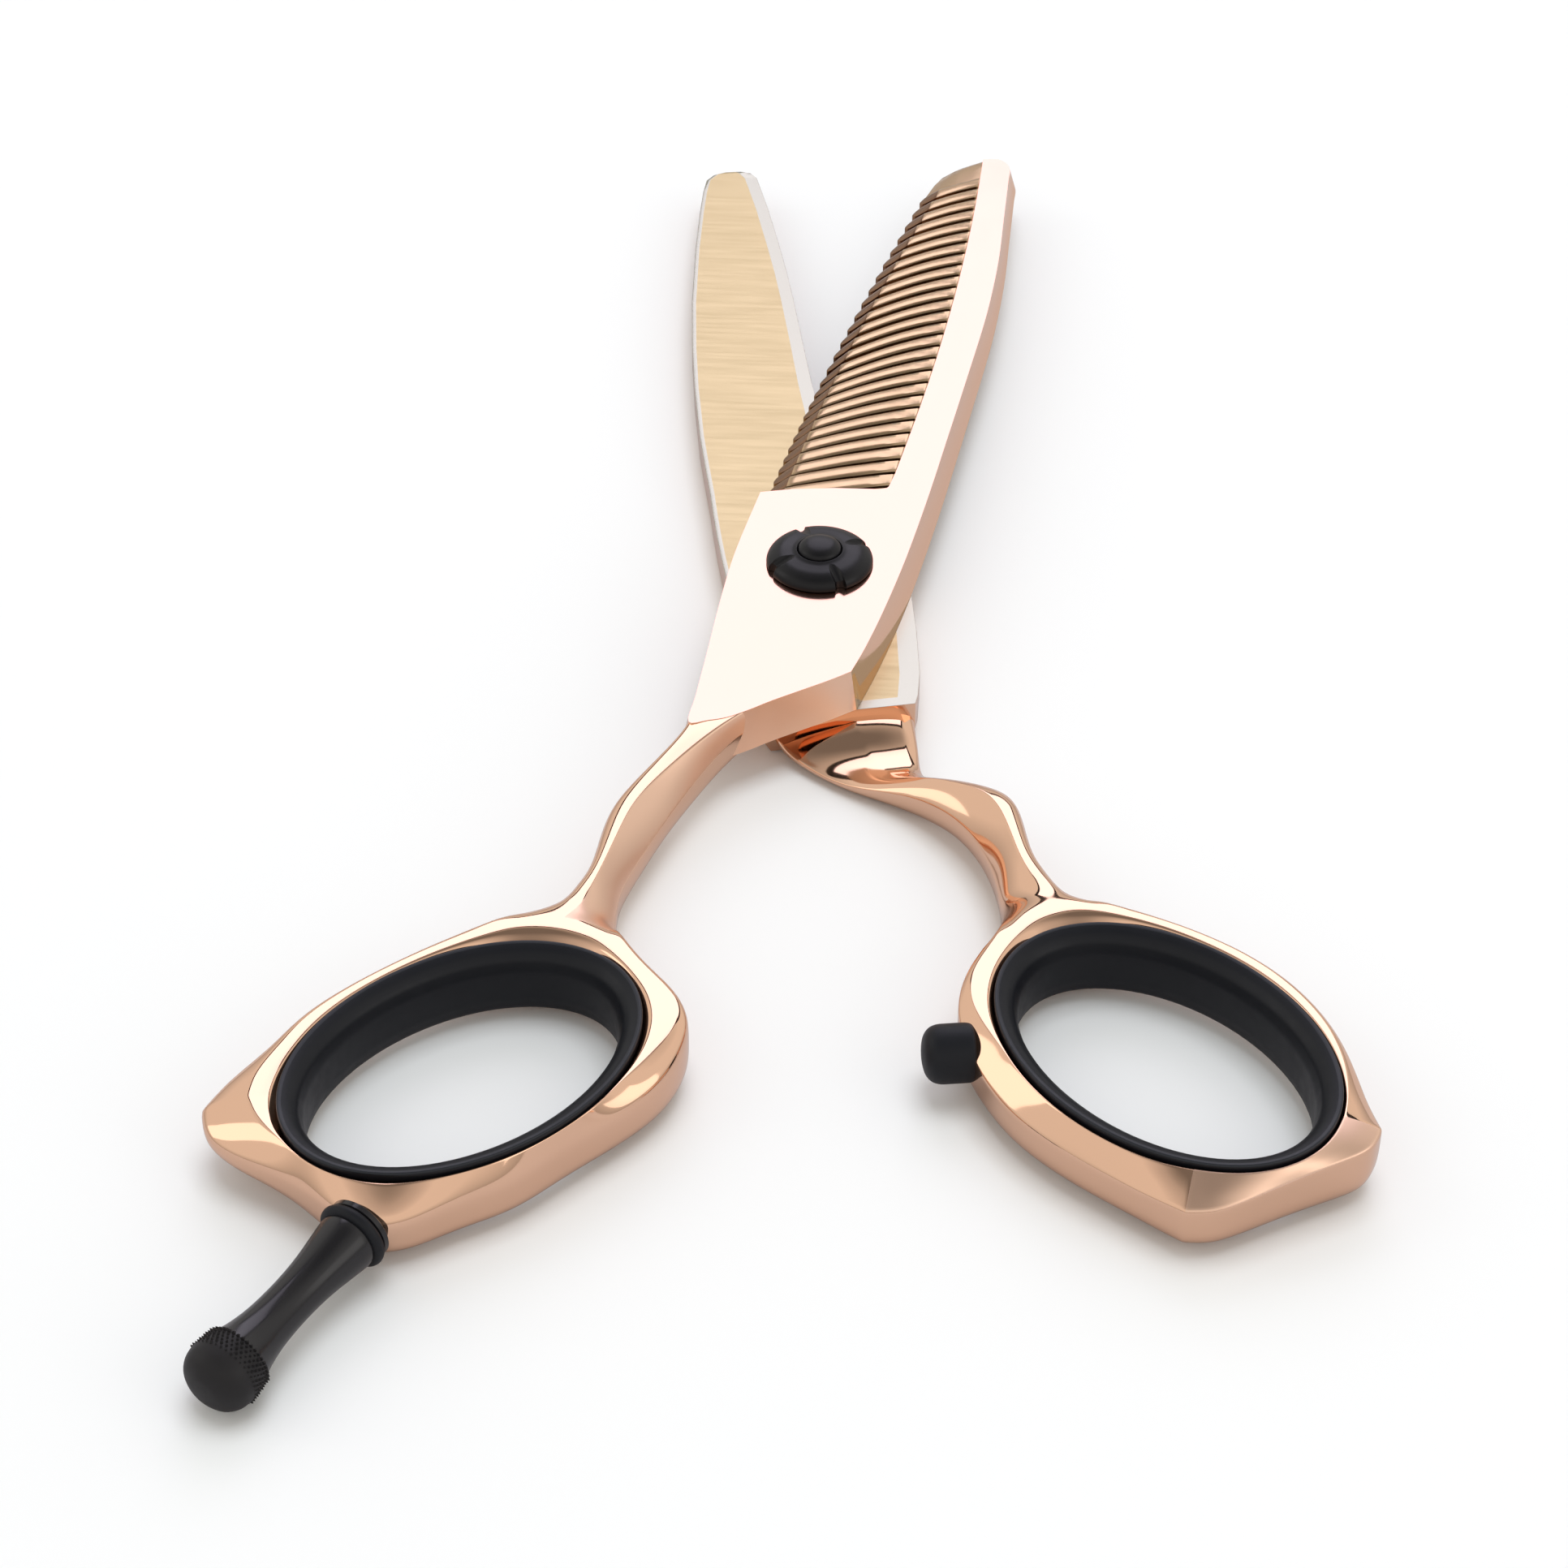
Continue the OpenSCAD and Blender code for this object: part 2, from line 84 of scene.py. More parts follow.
# Outlines and stations in the closed frames, in millimetres
COMB_HEEL = [
    (-7.1, 8.9), (-7.3, 0), (-7.0, -7), (-6.5, -14), (-6.1, -20), (-5.9, -23.4),
    (-4.4, -22.9), (-3, -22.2), (-1.5, -20.9), (0, -19.4), (2, -17.6), (4, -15.8), (5.5, -14.3),
]
COMB_SPINE = [
    (5.5, -14.3), (6, -11), (6.5, -6), (6.9, 0), (7.1, 5), (7.25, 12), (7.3, 20), (7.3, 30),
    (7.25, 41), (7.0, 48), (6.6, 54), (6.0, 60), (5.5, 65), (5.1, 69), (4.9, 71.2), (4.3, 72.6),
    (3.4, 73.2),
]
CUTTING_ROWS = [
    (-6.0, -16.6, 6.4, -15.6), (-6.2, -15.5, 6.75, -14.5), (-6.9, -12, 7.25, -11.5),
    (-7.2, -6, 7.65, -5.5), (-7.5, 0, 7.8, 0), (-7.7, 3, 7.3, 3), (-7.9, 6, 6.2, 6),
    (-8.05, 9, 5.0, 9), (-8.15, 12.5, 4.0, 12.5), (-8.2, 16, 3.4, 16), (-8.35, 20, 3.1, 20),
    (-8.5, 25, 2.9, 25), (-8.45, 33, 2.4, 33), (-8.2, 40, 2.2, 40), (-7.7, 48, 2.0, 48),
    (-7.2, 53, 1.8, 53), (-6.7, 58, 1.5, 58), (-5.8, 65, 1.0, 65), (-5.2, 69, 0.6, 69),
    (-4.7, 71.3, 0.35, 71.3), (-3.9, 72.3, -0.2, 72.3), (-2.8, 72.7, -1.2, 72.7),
]
FINGER_RING = [
    (-6.2, -43), (-5.7, -46), (-4.6, -48.8), (-2.5, -51), (-0.2, -53), (1.7, -55.6),
    (1.9, -58.4), (1.0, -61.8), (-1.1, -65.2), (-3.9, -68.9), (-6.8, -72.9), (-10.3, -75.8),
    (-13.0, -78.2), (-15.4, -79.1), (-18.4, -78.1), (-20.6, -76.8), (-23.2, -75.6),
    (-26.2, -74.6), (-28.6, -73.2), (-29.4, -71), (-28.9, -68.5), (-27.3, -65.3), (-25.5, -61),
    (-23, -57.2), (-19.8, -53.4), (-16.3, -49.9), (-13.2, -46.9), (-10.6, -43.8),
]
THUMB_RING = [
    (13.0, -40.0), (14.6, -42.2), (17, -43.9), (20.1, -45.6), (23.2, -47.5), (26.3, -50),
    (28.8, -52.9), (30.6, -56.1), (31.9, -60), (32.6, -63.9), (32.9, -67.3), (32.7, -69.9),
    (31.8, -71), (26.5, -73), (20.6, -75.2), (18.3, -74.9), (14.4, -71.6), (10.6, -67.9),
    (7.9, -64.4), (6.3, -61), (5.2, -57.3), (5.0, -54), (6.2, -50.6), (8, -47.8), (9.7, -45),
    (10.1, -42.5), (10.1, -40.5),
]
# Shanks: x and y of the left edge and of the right edge, lowest and highest z
COMB_SHANK = [
    (-6.3, -15, 5.2, -12, 0.1, 3.37), (-6.1, -20, 1.2, -17.3, 0.1, 3.37),
    (-6.3, -24.3, -2.3, -22.6, -0.9, 3.35), (-8.2, -28.8, -4.2, -27, -1.9, 2.9),
    (-9.9, -33.3, -5.5, -31.8, -2.2, 2.6), (-9.9, -37.5, -6.4, -36.5, -2.3, 2.5),
    (-9.8, -41.5, -7.1, -41.5, -2.4, 2.5), (-11.2, -45.5, -6.3, -45.8, -2.5, 2.5),
]
CUTTING_SHANK = [
    (-6.0, -13, 6.4, -13, -3.3, -0.6), (-5.0, -17.3, 6.3, -16.8, -3.3, -0.8),
    (-3.3, -19.6, 6.3, -19.2, -3.3, -1.7), (0, -22.8, 6.3, -22.6, -3.3, -1.6),
    (4.3, -26, 8.2, -26.2, -3.0, 0.7), (7.4, -30, 12.3, -29.9, -2.6, 2.3),
    (9.2, -34.2, 12.9, -33.8, -2.5, 2.5), (9.9, -38.4, 13.2, -38.2, -2.5, 2.5),
    (9.9, -42, 15.2, -42.8, -2.5, 2.5),
]
FINGER_CENTRE, FINGER_TURN = (-13.2, -63.3), math.radians(52)
THUMB_CENTRE, THUMB_TURN = (19.35, -59.7), math.radians(-54.3)
REST_ROOT, REST_TURN, REST_DROOP = (-16.2, -78.6, 0.0), math.radians(249.5), math.radians(2.6)
BUMPER_ROOT = (5.9, -57.1, 0.2)


# ---------------------------------------------------------------- settings
def length(name, description, default):
    """Setting that holds a length in metres."""
    return FloatProperty(
        name=name, description=description, default=default, unit="LENGTH", subtype="DISTANCE"
    )


def colour(name, description, default):
    """Setting that holds a linear colour."""
    return FloatVectorProperty(name=name, description=description, default=default, subtype="COLOR")


class ShearsBladeSettings(bpy.types.PropertyGroup):
    teeth: IntProperty(name="Slots", description="Number of slots in the comb", default=26, min=4, max=28)
    pitch: length("Pitch", "Distance from slot to slot", 0.002185)
    slot: length("Slot width", "Width of one slot", 0.00049)
    first: length("First slot", "Where the first slot starts", 0.0125)
    bevel: length("Edge bevel", "Rounding of the blades' edges", 0.0001)


class ShearsHandleSettings(bpy.types.PropertyGroup):
    bore_long: length("Opening length", "Length of a ring opening", 0.0266)
    bore_short: length("Opening width", "Width of a ring opening", 0.0185)
    ring: length("Ring thickness", "Thickness of the rings", 0.0052)
    facets: FloatProperty(
        name="Facet crease", description="How crisp the facets are", default=0.55, min=0, max=1
    )


class ShearsFittingSettings(bpy.types.PropertyGroup):
    dial: length("Dial diameter", "Diameter of the dial", 0.009)
    rest: length("Rest length", "Length of the finger rest", 0.017)
    knurl_rows: IntProperty(name="Knurl rows", description="Rows of grains in the band", default=6, min=1)
    knurl_columns: IntProperty(name="Knurl columns", description="Grains in one row", default=40, min=3)
    seed: IntProperty(name="Seed", description="Seed of the grain sizes", default=4)


class ShearsLookSettings(bpy.types.PropertyGroup):
    gold: colour("Rose gold", "Colour of the polished halves", (0.92, 0.59, 0.41))
    satin: colour("Satin gold", "Colour of the satin blade face", (0.65, 0.528, 0.303))
    rubber: colour("Rubber", "Colour of the inserts", (0.005, 0.006, 0.009))
    black: colour("Black coating", "Colour of the finger rest", (0.008, 0.0075, 0.009))


class ShearsStageSettings(bpy.types.PropertyGroup):
    back: FloatProperty(name="Back light", description="Power of the large light behind", default=3.1)
    right: FloatProperty(name="Right light", description="Power of the light at the right", default=1.4)
    left: FloatProperty(name="Left light", description="Power of the light at the left", default=0.9)
    fill: FloatProperty(name="Fill light", description="Power of the soft light overhead", default=11.2)
    world: FloatProperty(name="Room", description="Strength of the room's own light", default=0.68)


# ---------------------------------------------------------------- geometry helpers
def place(half):
    """Matrix from a half's closed frame in millimetres to the row frame in metres."""
    turn = {"cutting": HALF_TURN, "comb": -HALF_TURN, "pivot": 0.0}[half]
    return Matrix.Rotation(turn, 4, "Z") @ Matrix.Translation((0, 0, RIDE_Z * MM)) @ Matrix.Scale(MM, 4)


def build(name, verts, faces, material, matrix, creases=None, face_materials=None, sharp=40):
    """Closed mesh object from lists; faces are turned outward and everything is moved by matrix."""
    mesh = bpy.data.meshes.new(name)
    mesh.from_pydata([tuple(v) for v in verts], [], faces)
    materials = material if isinstance(material, (list, tuple)) else [material]
    for m in materials:
        mesh.materials.append(m)
    if face_materials:
        for polygon, index in zip(mesh.polygons, face_materials):
            polygon.material_index = index
    bm = bmesh.new()
    bm.from_mesh(mesh)
    bmesh.ops.recalc_face_normals(bm, faces=bm.faces)
    if creases:
        layer = bm.edges.layers.float.new("crease_edge")
        bm.verts.ensure_lookup_table()
        wanted = {frozenset(pair): value for pair, value in creases.items()}
        for edge in bm.edges:
            key = frozenset((edge.verts[0].index, edge.verts[1].index))
            if key in wanted:
                edge[layer] = wanted[key]
    bm.to_mesh(mesh)
    bm.free()
    mesh.transform(matrix)
    obj = bpy.data.objects.new(name, mesh)
    bpy.context.scene.collection.objects.link(obj)
    for polygon in mesh.polygons:
        polygon.use_smooth = True
    obj["sharp_angle"] = float(sharp)
    return obj


def face_outward(mesh):
    """Turns every face of a closed mesh outward."""
    bm = bmesh.new()
    bm.from_mesh(mesh)
    bmesh.ops.recalc_face_normals(bm, faces=bm.faces)
    bm.to_mesh(mesh)
    bm.free()


def loft_faces(rows):
    """Faces that join equal rows of points, with both ends closed."""
    size, last = len(rows[0]), len(rows) - 1
    faces = [
        (i * size + j, (i + 1) * size + j, (i + 1) * size + (j + 1) % size, i * size + (j + 1) % size)
        for i in range(last) for j in range(size)
    ]
    return faces + [tuple(range(size)), tuple(range(last * size, (last + 1) * size))]


def bake(obj):
    """Replaces the object's mesh with its evaluated one and drops the modifiers."""
    bpy.context.view_layer.update()
    graph = bpy.context.evaluated_depsgraph_get()
    mesh = bpy.data.meshes.new_from_object(
        obj.evaluated_get(graph), preserve_all_data_layers=True, depsgraph=graph
    )
    old = obj.data
    obj.modifiers.clear()
    obj.data = mesh
    bpy.data.meshes.remove(old)
    mesh.name = obj.name
    return obj


def finish_piece(obj, body, slot, *nodes):
    """Marks hard edges, then hangs the piece on the body it rides on and hides the CAD nodes it stands for.
    """
    angle = obj.get("sharp_angle", 40.0)
    if angle > 0:
        obj.data.set_sharp_from_angle(angle=math.radians(angle))
    del obj["sharp_angle"]
    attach(obj, body)
    if nodes:
        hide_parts(*nodes)
    return obj


def subdivide(obj, levels):
    modifier = obj.modifiers.new("smooth", "SUBSURF")
    modifier.levels = modifier.render_levels = levels
    return bake(obj)


def bevel(obj, width, segments=2, angle=30):
    modifier = obj.modifiers.new("bevel", "BEVEL")
    modifier.width = width
    modifier.segments = segments
    modifier.limit_method = "ANGLE"
    modifier.angle_limit = math.radians(angle)
    weighted = obj.modifiers.new("normals", "WEIGHTED_NORMAL")
    weighted.weight = 100
    return bake(obj)


def cut(obj, cutter):
    """Takes cutter away from obj and removes it."""
    modifier = obj.modifiers.new("cut", "BOOLEAN")
    modifier.operation = "DIFFERENCE"
    modifier.solver = "EXACT"
    modifier.object = cutter
    bake(obj)
    mesh = cutter.data
    bpy.data.objects.remove(cutter)
    bpy.data.meshes.remove(mesh)


def lathe(name, profile, material, matrix, segments=96, sharp=30):
    """Solid of revolution about local Z from (radius, height) points, bottom to top."""
    verts, faces = [], []
    rings = []
    for r, z in profile:
        if r <= 1e-9:
            rings.append([len(verts)] * segments)
            verts.append((0, 0, z))
        else:
            start = len(verts)
            rings.append(list(range(start, start + segments)))
            for k in range(segments):
                a = 2 * math.pi * k / segments
                verts.append((r * math.cos(a), r * math.sin(a), z))
    closed = profile[0][0] > 1e-9 and profile[-1][0] > 1e-9
    pairs = list(zip(rings, rings[1:])) + ([(rings[-1], rings[0])] if closed else [])
    for low, high in pairs:
        for k in range(segments):
            n = (k + 1) % segments
            face = []
            for v in (low[k], low[n], high[n], high[k]):
                if v not in face:
                    face.append(v)
            if len(face) > 2:
                faces.append(face)
    return build(name, verts, faces, material, matrix, sharp=sharp)


def rounded(points, radius, steps=4):
    """Profile with its inner corners rounded."""
    out = [points[0]]
    for before, corner, after in zip(points, points[1:], points[2:]):
        a, c, b = Vector(before), Vector(corner), Vector(after)
        ra = min(radius, (a - c).length * 0.45)
        rb = min(radius, (b - c).length * 0.45)
        start = c + (a - c).normalized() * ra
        end = c + (b - c).normalized() * rb
        for k in range(steps + 1):
            t = k / steps
            out.append(tuple(start * (1 - t) ** 2 + c * (2 * t * (1 - t)) + end * t * t))
    out.append(points[-1])
    return out


def spline(points, steps):
    """Smooth open curve through tuples of any length."""
    out = []
    last = len(points) - 1
    for i in range(last):
        p0, p1, p2, p3 = points[max(i - 1, 0)], points[i], points[i + 1], points[min(i + 2, last)]
        for k in range(steps):
            t = k / steps
            out.append(
                tuple(
                    0.5 * (2 * b + (c - a) * t + (2 * a - 5 * b + 4 * c - d) * t * t
                           + (3 * b - a - 3 * c + d) * t ** 3)
                    for a, b, c, d in zip(p0, p1, p2, p3)
                )
            )
    out.append(points[last])
    return out


def smoothstep(low, high, x):
    """0 at low, 1 at high and smooth between; low may be the larger one."""
    t = min(max((x - low) / (high - low), 0), 1)
    return t * t * (3 - 2 * t)


def blade_thick(y):
    """Thickness of a blade, which thins from THIN_FROM to the tip."""
    return RIDE_Z if y < THIN_FROM else RIDE_Z - THIN_RATE * (y - THIN_FROM)


def root_x(y):
    """Line where the slots end."""
    return ROOT_X - ROOT_BOW * (y - ROOT_Y) ** 2


# ---------------------------------------------------------------- node helpers
def new_material(name):
    material = bpy.data.materials.new(name)
    material.use_nodes = True
    tree = material.node_tree
    tree.nodes.clear()
    out = tree.nodes.new("ShaderNodeOutputMaterial")
    shader = tree.nodes.new("ShaderNodeBsdfPrincipled")
    tree.links.new(shader.outputs["BSDF"], out.inputs["Surface"])
    coords = tree.nodes.new("ShaderNodeTexCoord")
    mapping = tree.nodes.new("ShaderNodeMapping")
    tree.links.new(coords.outputs["Object"], mapping.inputs["Vector"])
    return material, tree, shader, mapping


def finish_material(
    name, tone, metallic, roughness, spread=0.0, grain=400.0, bump=0.0, stretch=(1, 1, 1), turn=0.0,
    shade=0.0, specular=0.5
):
    """Material whose roughness, colour and surface vary a little with a procedural noise."""
    material, tree, shader, mapping = new_material(name)
    mapping.inputs["Scale"].default_value = stretch
    mapping.inputs["Rotation"].default_value = (0, 0, turn)
    noise = tree.nodes.new("ShaderNodeTexNoise")
    noise.inputs["Scale"].default_value = grain
    noise.inputs["Detail"].default_value = 3
    tree.links.new(mapping.outputs["Vector"], noise.inputs["Vector"])
    shader.inputs["Base Color"].default_value = (*tone, 1)
    shader.inputs["Metallic"].default_value = metallic
    shader.inputs["Roughness"].default_value = roughness
    shader.inputs["Specular IOR Level"].default_value = specular
    if spread:
        spread_node = tree.nodes.new("ShaderNodeMapRange")
        spread_node.inputs["From Min"].default_value = 0.3
        spread_node.inputs["From Max"].default_value = 0.7
        spread_node.inputs["To Min"].default_value = roughness - spread
        spread_node.inputs["To Max"].default_value = roughness + spread
        tree.links.new(noise.outputs["Fac"], spread_node.inputs["Value"])
        tree.links.new(spread_node.outputs["Result"], shader.inputs["Roughness"])
    if shade:
        ramp = tree.nodes.new("ShaderNodeMix")
        ramp.data_type = "RGBA"
        ramp.inputs[6].default_value = (*[c * (1 - shade) for c in tone], 1)
        ramp.inputs[7].default_value = (*[min(c * (1 + shade), 1) for c in tone], 1)
        tree.links.new(noise.outputs["Fac"], ramp.inputs[0])
        tree.links.new(ramp.outputs[2], shader.inputs["Base Color"])
    if bump:
        bump_node = tree.nodes.new("ShaderNodeBump")
        bump_node.inputs["Strength"].default_value = 1.0
        bump_node.inputs["Distance"].default_value = bump * MM
        tree.links.new(noise.outputs["Fac"], bump_node.inputs["Height"])
        tree.links.new(bump_node.outputs["Normal"], shader.inputs["Normal"])
    return material


def looks():
    """All materials by name, made once."""
    made = {m.name: m for m in bpy.data.materials if m.name.startswith("shears_")}
    if made:
        return made
    s = bpy.context.scene.shears_look
    across = (1, 14, 1)
    for material in (
        finish_material("shears_gold", s.gold, 1, 0.07, spread=0.015, grain=260),
        # painted shade on the reflection in the comb blade's top flat: a darker, pinker copy of the gold
        finish_material("shears_flat", (0.92, 0.543, 0.43), 1, 0.12, spread=0.015, grain=260),
        finish_material("shears_tooth", (0.68, 0.475, 0.29), 1, 0.24, spread=0.03, grain=500),
        # painted sheen: a paler copy of the gold on faces turned forward, which lights them like a broad
        # reflection
        finish_material("shears_soft", (0.97, 0.66, 0.49), 1, 0.34, spread=0.03, grain=260),
        # painted dark reflection: the brown of the bevels at the tooth ends
        finish_material("shears_tooth_end", (0.30, 0.17, 0.1), 1, 0.25, spread=0.04, grain=500),
        finish_material(
            "shears_satin", s.satin, 1, 0.4, spread=0.05, grain=150, bump=0.004, stretch=across,
            turn=-HALF_TURN, shade=0.03,
        ),
        finish_material("shears_ride", (0.5, 0.5, 0.42), 1, 0.27, spread=0.004, grain=300),
        finish_material(
            "shears_rubber", s.rubber, 0, 0.42, spread=0.04, grain=900, bump=0.006, specular=0.3
        ),
        # painted highlight: a lighter, bluer copy of the rubber on the lip's outer rim
        finish_material("shears_lip", (0.012, 0.014, 0.019), 0, 0.4, spread=0.04, grain=900, specular=0.4),
        finish_material("shears_bumper", s.rubber, 0, 0.5, spread=0.05, grain=700, bump=0.01, specular=0.3),
        finish_material("shears_black", s.black, 0, 0.2, spread=0.03, grain=500, specular=0.5),
        finish_material(
            "shears_matt", (0.013, 0.012, 0.013), 0, 0.5, spread=0.05, grain=700, bump=0.008, specular=0.3
        ),
        finish_material(
            "shears_dial", (0.005, 0.005, 0.006), 0, 0.33, spread=0.03, grain=600, specular=0.3
        ),
        finish_material("shears_steel", (0.62, 0.62, 0.63), 1, 0.25, spread=0.05, grain=400),
        finish_material("shears_bronze", (0.62, 0.40, 0.18), 1, 0.35, spread=0.05, grain=500, shade=0.08),
        finish_material("shears_nylon", (0.83, 0.82, 0.76), 0, 0.45, spread=0.05, grain=500, shade=0.03),
    ):
        made[material.name] = material
    return made


class Fields:
    """Short names for the maths nodes of one geometry tree."""

    def __init__(self, name, inputs):
        self.tree = bpy.data.node_groups.new(name, "GeometryNodeTree")
        socket = self.tree.interface.new_socket
        socket("Geometry", in_out="INPUT", socket_type="NodeSocketGeometry")
        self.ids = {}
        for label, kind in inputs:
            self.ids[label] = socket(label, in_out="INPUT", socket_type=kind).identifier
        socket("Geometry", in_out="OUTPUT", socket_type="NodeSocketGeometry")
        self.given = self.node("NodeGroupInput").outputs
        self.out = self.node("NodeGroupOutput")

    def node(self, kind, **links):
        made = self.tree.nodes.new(kind)
        for label, value in links.items():
            self.feed(made.inputs[label.replace("_", " ")], value)
        return made

    def feed(self, socket, value):
        if isinstance(value, bpy.types.NodeSocket):
            self.tree.links.new(value, socket)
        else:
            socket.default_value = value

    def maths(self, operation, *values):
        made = self.tree.nodes.new("ShaderNodeMath")
        made.operation = operation
        for socket, value in zip(made.inputs, values):
            self.feed(socket, value)
        return made.outputs[0]

    def add(self, a, b):
        return self.maths("ADD", a, b)

    def sub(self, a, b):
        return self.maths("SUBTRACT", a, b)

    def mul(self, a, b):
        return self.maths("MULTIPLY", a, b)

    def xyz(self, x, y, z):
        return self.node("ShaderNodeCombineXYZ", X=x, Y=y, Z=z).outputs[0]

    def attach(self, obj, **values):
        modifier = obj.modifiers.new(self.tree.name, "NODES")
        modifier.node_group = self.tree
        for label, value in values.items():
            modifier[self.ids[label.replace("_", " ")]] = value
        return bake(obj)


# ---------------------------------------------------------------- handles
def bore_point(centre, turn, angle, d, z):
    """Point at an angle round a ring opening, moved out by d along the normal."""
    s = bpy.context.scene.shears_handle
    a, b = s.bore_long / 2 / MM, s.bore_short / 2 / MM
    c, n = math.cos(angle), math.sin(angle)
    m = math.hypot(b * c, a * n)
    u, v = a * c + d * b * c / m, b * n + d * a * n / m
    return (
        centre[0] + u * math.cos(turn) - v * math.sin(turn),
        centre[1] + u * math.sin(turn) + v * math.cos(turn),
        z,
    )


def reach(outline, start, through):
    """Distance from start, along the direction to through, to the outline."""
    o = Vector(start[:2])
    direction = (Vector(through[:2]) - o).normalized()
    best = None
    for a, b in zip(outline, outline[1:] + outline[:1]):
        e = Vector(b) - Vector(a)
        k = direction.x * -e.y + direction.y * e.x
        if abs(k) < 1e-9:
            continue
        w = Vector(a) - o
        t = (w.x * -e.y + w.y * e.x) / k
        u = (direction.x * w.y - direction.y * w.x) / k
        if t > 0 and -1e-6 <= u <= 1 + 1e-6:
            best = t if best is None else min(best, t)
    return best, direction


def closed_spline(points, steps):
    n = len(points)
    out = []
    for i in range(n):
        part = spline([points[i - 1], points[i], points[(i + 1) % n], points[(i + 2) % n]], steps)
        out.extend(part[steps:2 * steps])
    return out


# Shank section, top left corner first and clockwise seen along the shank: 5 + 4 + 5 + 4 points
COMB_PROFILE = [
    (-0.8, 0.86), (-0.55, 1.0), (-0.12, 1.0), (0.3, 0.74), (0.68, 0.42),
    (0.97, 0.08), (1.0, -0.15), (0.98, -0.42), (0.9, -0.7),
    (0.7, -0.9), (0.35, -1.0), (0.0, -1.0), (-0.4, -1.0), (-0.75, -0.9),
    (-0.95, -0.6), (-1.0, -0.2), (-1.0, 0.25), (-0.95, 0.62),
]
# where it leaves the heel the same skin is flat on top with an upright inner wall
HEEL_PROFILE = [
    (-0.9, 0.93), (-0.8, 1.0), (0.9, 1.0), (0.95, 0.8), (0.97, 0.5),
    (0.98, 0.2), (0.98, -0.1), (0.98, -0.42), (0.95, -0.75),
]
HEEL_PROFILE += COMB_PROFILE[9:]


def mirrored(profile):
    """The same section seen in a mirror, still starting at its top left corner."""
    flipped = [(-u, w) for u, w in profile]
    top, right, low, left = flipped[:5], flipped[5:9], flipped[9:14], flipped[14:]
    return top[::-1] + left[::-1] + low[::-1] + right[::-1]


def arm(name, half, centre, turn, outline, stations, neck, profile, shape):
    """Ring and shank as one smooth skin.

    neck holds the five ring sections that meet the shank. shape holds what differs between the arms:
    section and widest give a ring section's sizes, corners the sections with a sharp corner, start the
    shank's first section, soft how crisp the outer edge is, ridge the creases along the shank, and
    plain the ring sections and band and wall the faces of the shank that take the
    painted sheen, a paler copy of the gold.
    """
    # the second metal is the painted sheen, a paler copy of the gold
    metals = [looks()["shears_gold"], looks()["shears_soft"]]
    crisp = bpy.context.scene.shears_handle.facets
    thick = bpy.context.scene.shears_handle.ring / 2 / MM
    count, levels = 48, 13
    fine = closed_spline(outline, 6)
    verts, faces, kinds, creases = [], [], [], {}
    for i in range(count):
        angle = 2 * math.pi * i / count
        start = bore_point(centre, turn, angle, 0, 0)
        width, normal = reach(fine, start, bore_point(centre, turn, angle, 1, 0))
        width = min(width, shape["widest"](i, width))
        near = smoothstep(-0.35, 0.45, -normal.y)
        begin, flat, top, edge, low, w = shape["section"](i, near, width, thick)
        for d, z in (
            (0, -thick + 0.1), (0, 0), (0, 1.8), (0.95, 1.85), (begin, top), (flat, top),
            ((flat + w) / 2, (top + edge) / 2 + 0.1), (w, edge), (w + 0.02, edge * 0.45 + low * 0.55 + 0.1),
            (w - 0.12, edge * 0.15 + low * 0.85), (w - 0.65, low), (0.55 * w, low - 0.02), (0.25 * w, low),
        ):
            verts.append(bore_point(centre, turn, angle, d, z))
    first, last = neck[0], neck[-1]
    for i in range(count):
        n = (i + 1) % count
        for j in range(levels):
            k = (j + 1) % levels
            if first <= i < last and 5 <= j < 10:
                continue
            faces.append((i * levels + j, n * levels + j, n * levels + k, i * levels + k))
            kinds.append(int(i in shape["plain"] and 4 <= j <= 6))
        by_neck = first - 1 <= i <= last
        for j, value in ((2, 0.9), (4, crisp * 0.6), (5, crisp), (7, crisp * shape["soft"])):
            if not (j == 7 and first <= i < last):
                creases[(i * levels + j, n * levels + j)] = 0.2 if by_neck and j >= 5 else value
        creases[(i * levels, n * levels)] = 0.9
    for i in shape["corners"]:
        for j in range(4, 10):
            creases[(i * levels + j, i * levels + j + 1)] = crisp
    # the opening's rim, in the order of a shank section
    rim = [i * levels + 5 for i in range(last, first - 1, -1)]
    rim += [first * levels + j for j in (6, 7, 8, 9)]
    rim += [i * levels + 10 for i in range(first, last + 1)]
    rim += [last * levels + j for j in (9, 8, 7, 6)]
    sections = []
    rows = spline(stations, 2)
    for index, s in enumerate(rows):
        turned = smoothstep(0.12, 0.62, index / (len(rows) - 1))
        mid = Vector((s[0] + s[2], s[1] + s[3])) / 2
        side = Vector((s[2] - s[0], s[3] - s[1])) / 2
        z, h = (s[4] + s[5]) / 2, (s[5] - s[4]) / 2
        start = len(verts)
        for first_point, point in zip(shape["start"], profile):
            u, w = (a + (b - a) * turned for a, b in zip(first_point, point))
            p = mid + side * u
            verts.append((p.x, p.y, z + h * w))
        sections.append(list(range(start, start + len(profile))))
    sections.append(rim)
    faces.append(tuple(sections[0]))
    kinds.append(0)
    size = len(profile)
    ridge = shape["ridge"]
    for index, (a, b) in enumerate(zip(sections, sections[1:])):
        for k in range(size):
            n = (k + 1) % size
            faces.append((a[k], a[n], b[n], b[k]))
            kinds.append(int(k in shape["band"] or (k in shape["wall"] and index < 3)))
            if k in ridge and index < len(sections) - 3:
                creases[(a[k], b[k])] = ridge[k] * crisp
    obj = build(name, verts, faces, metals, place(half), creases=creases, face_materials=kinds, sharp=0)
    return subdivide(obj, 3)


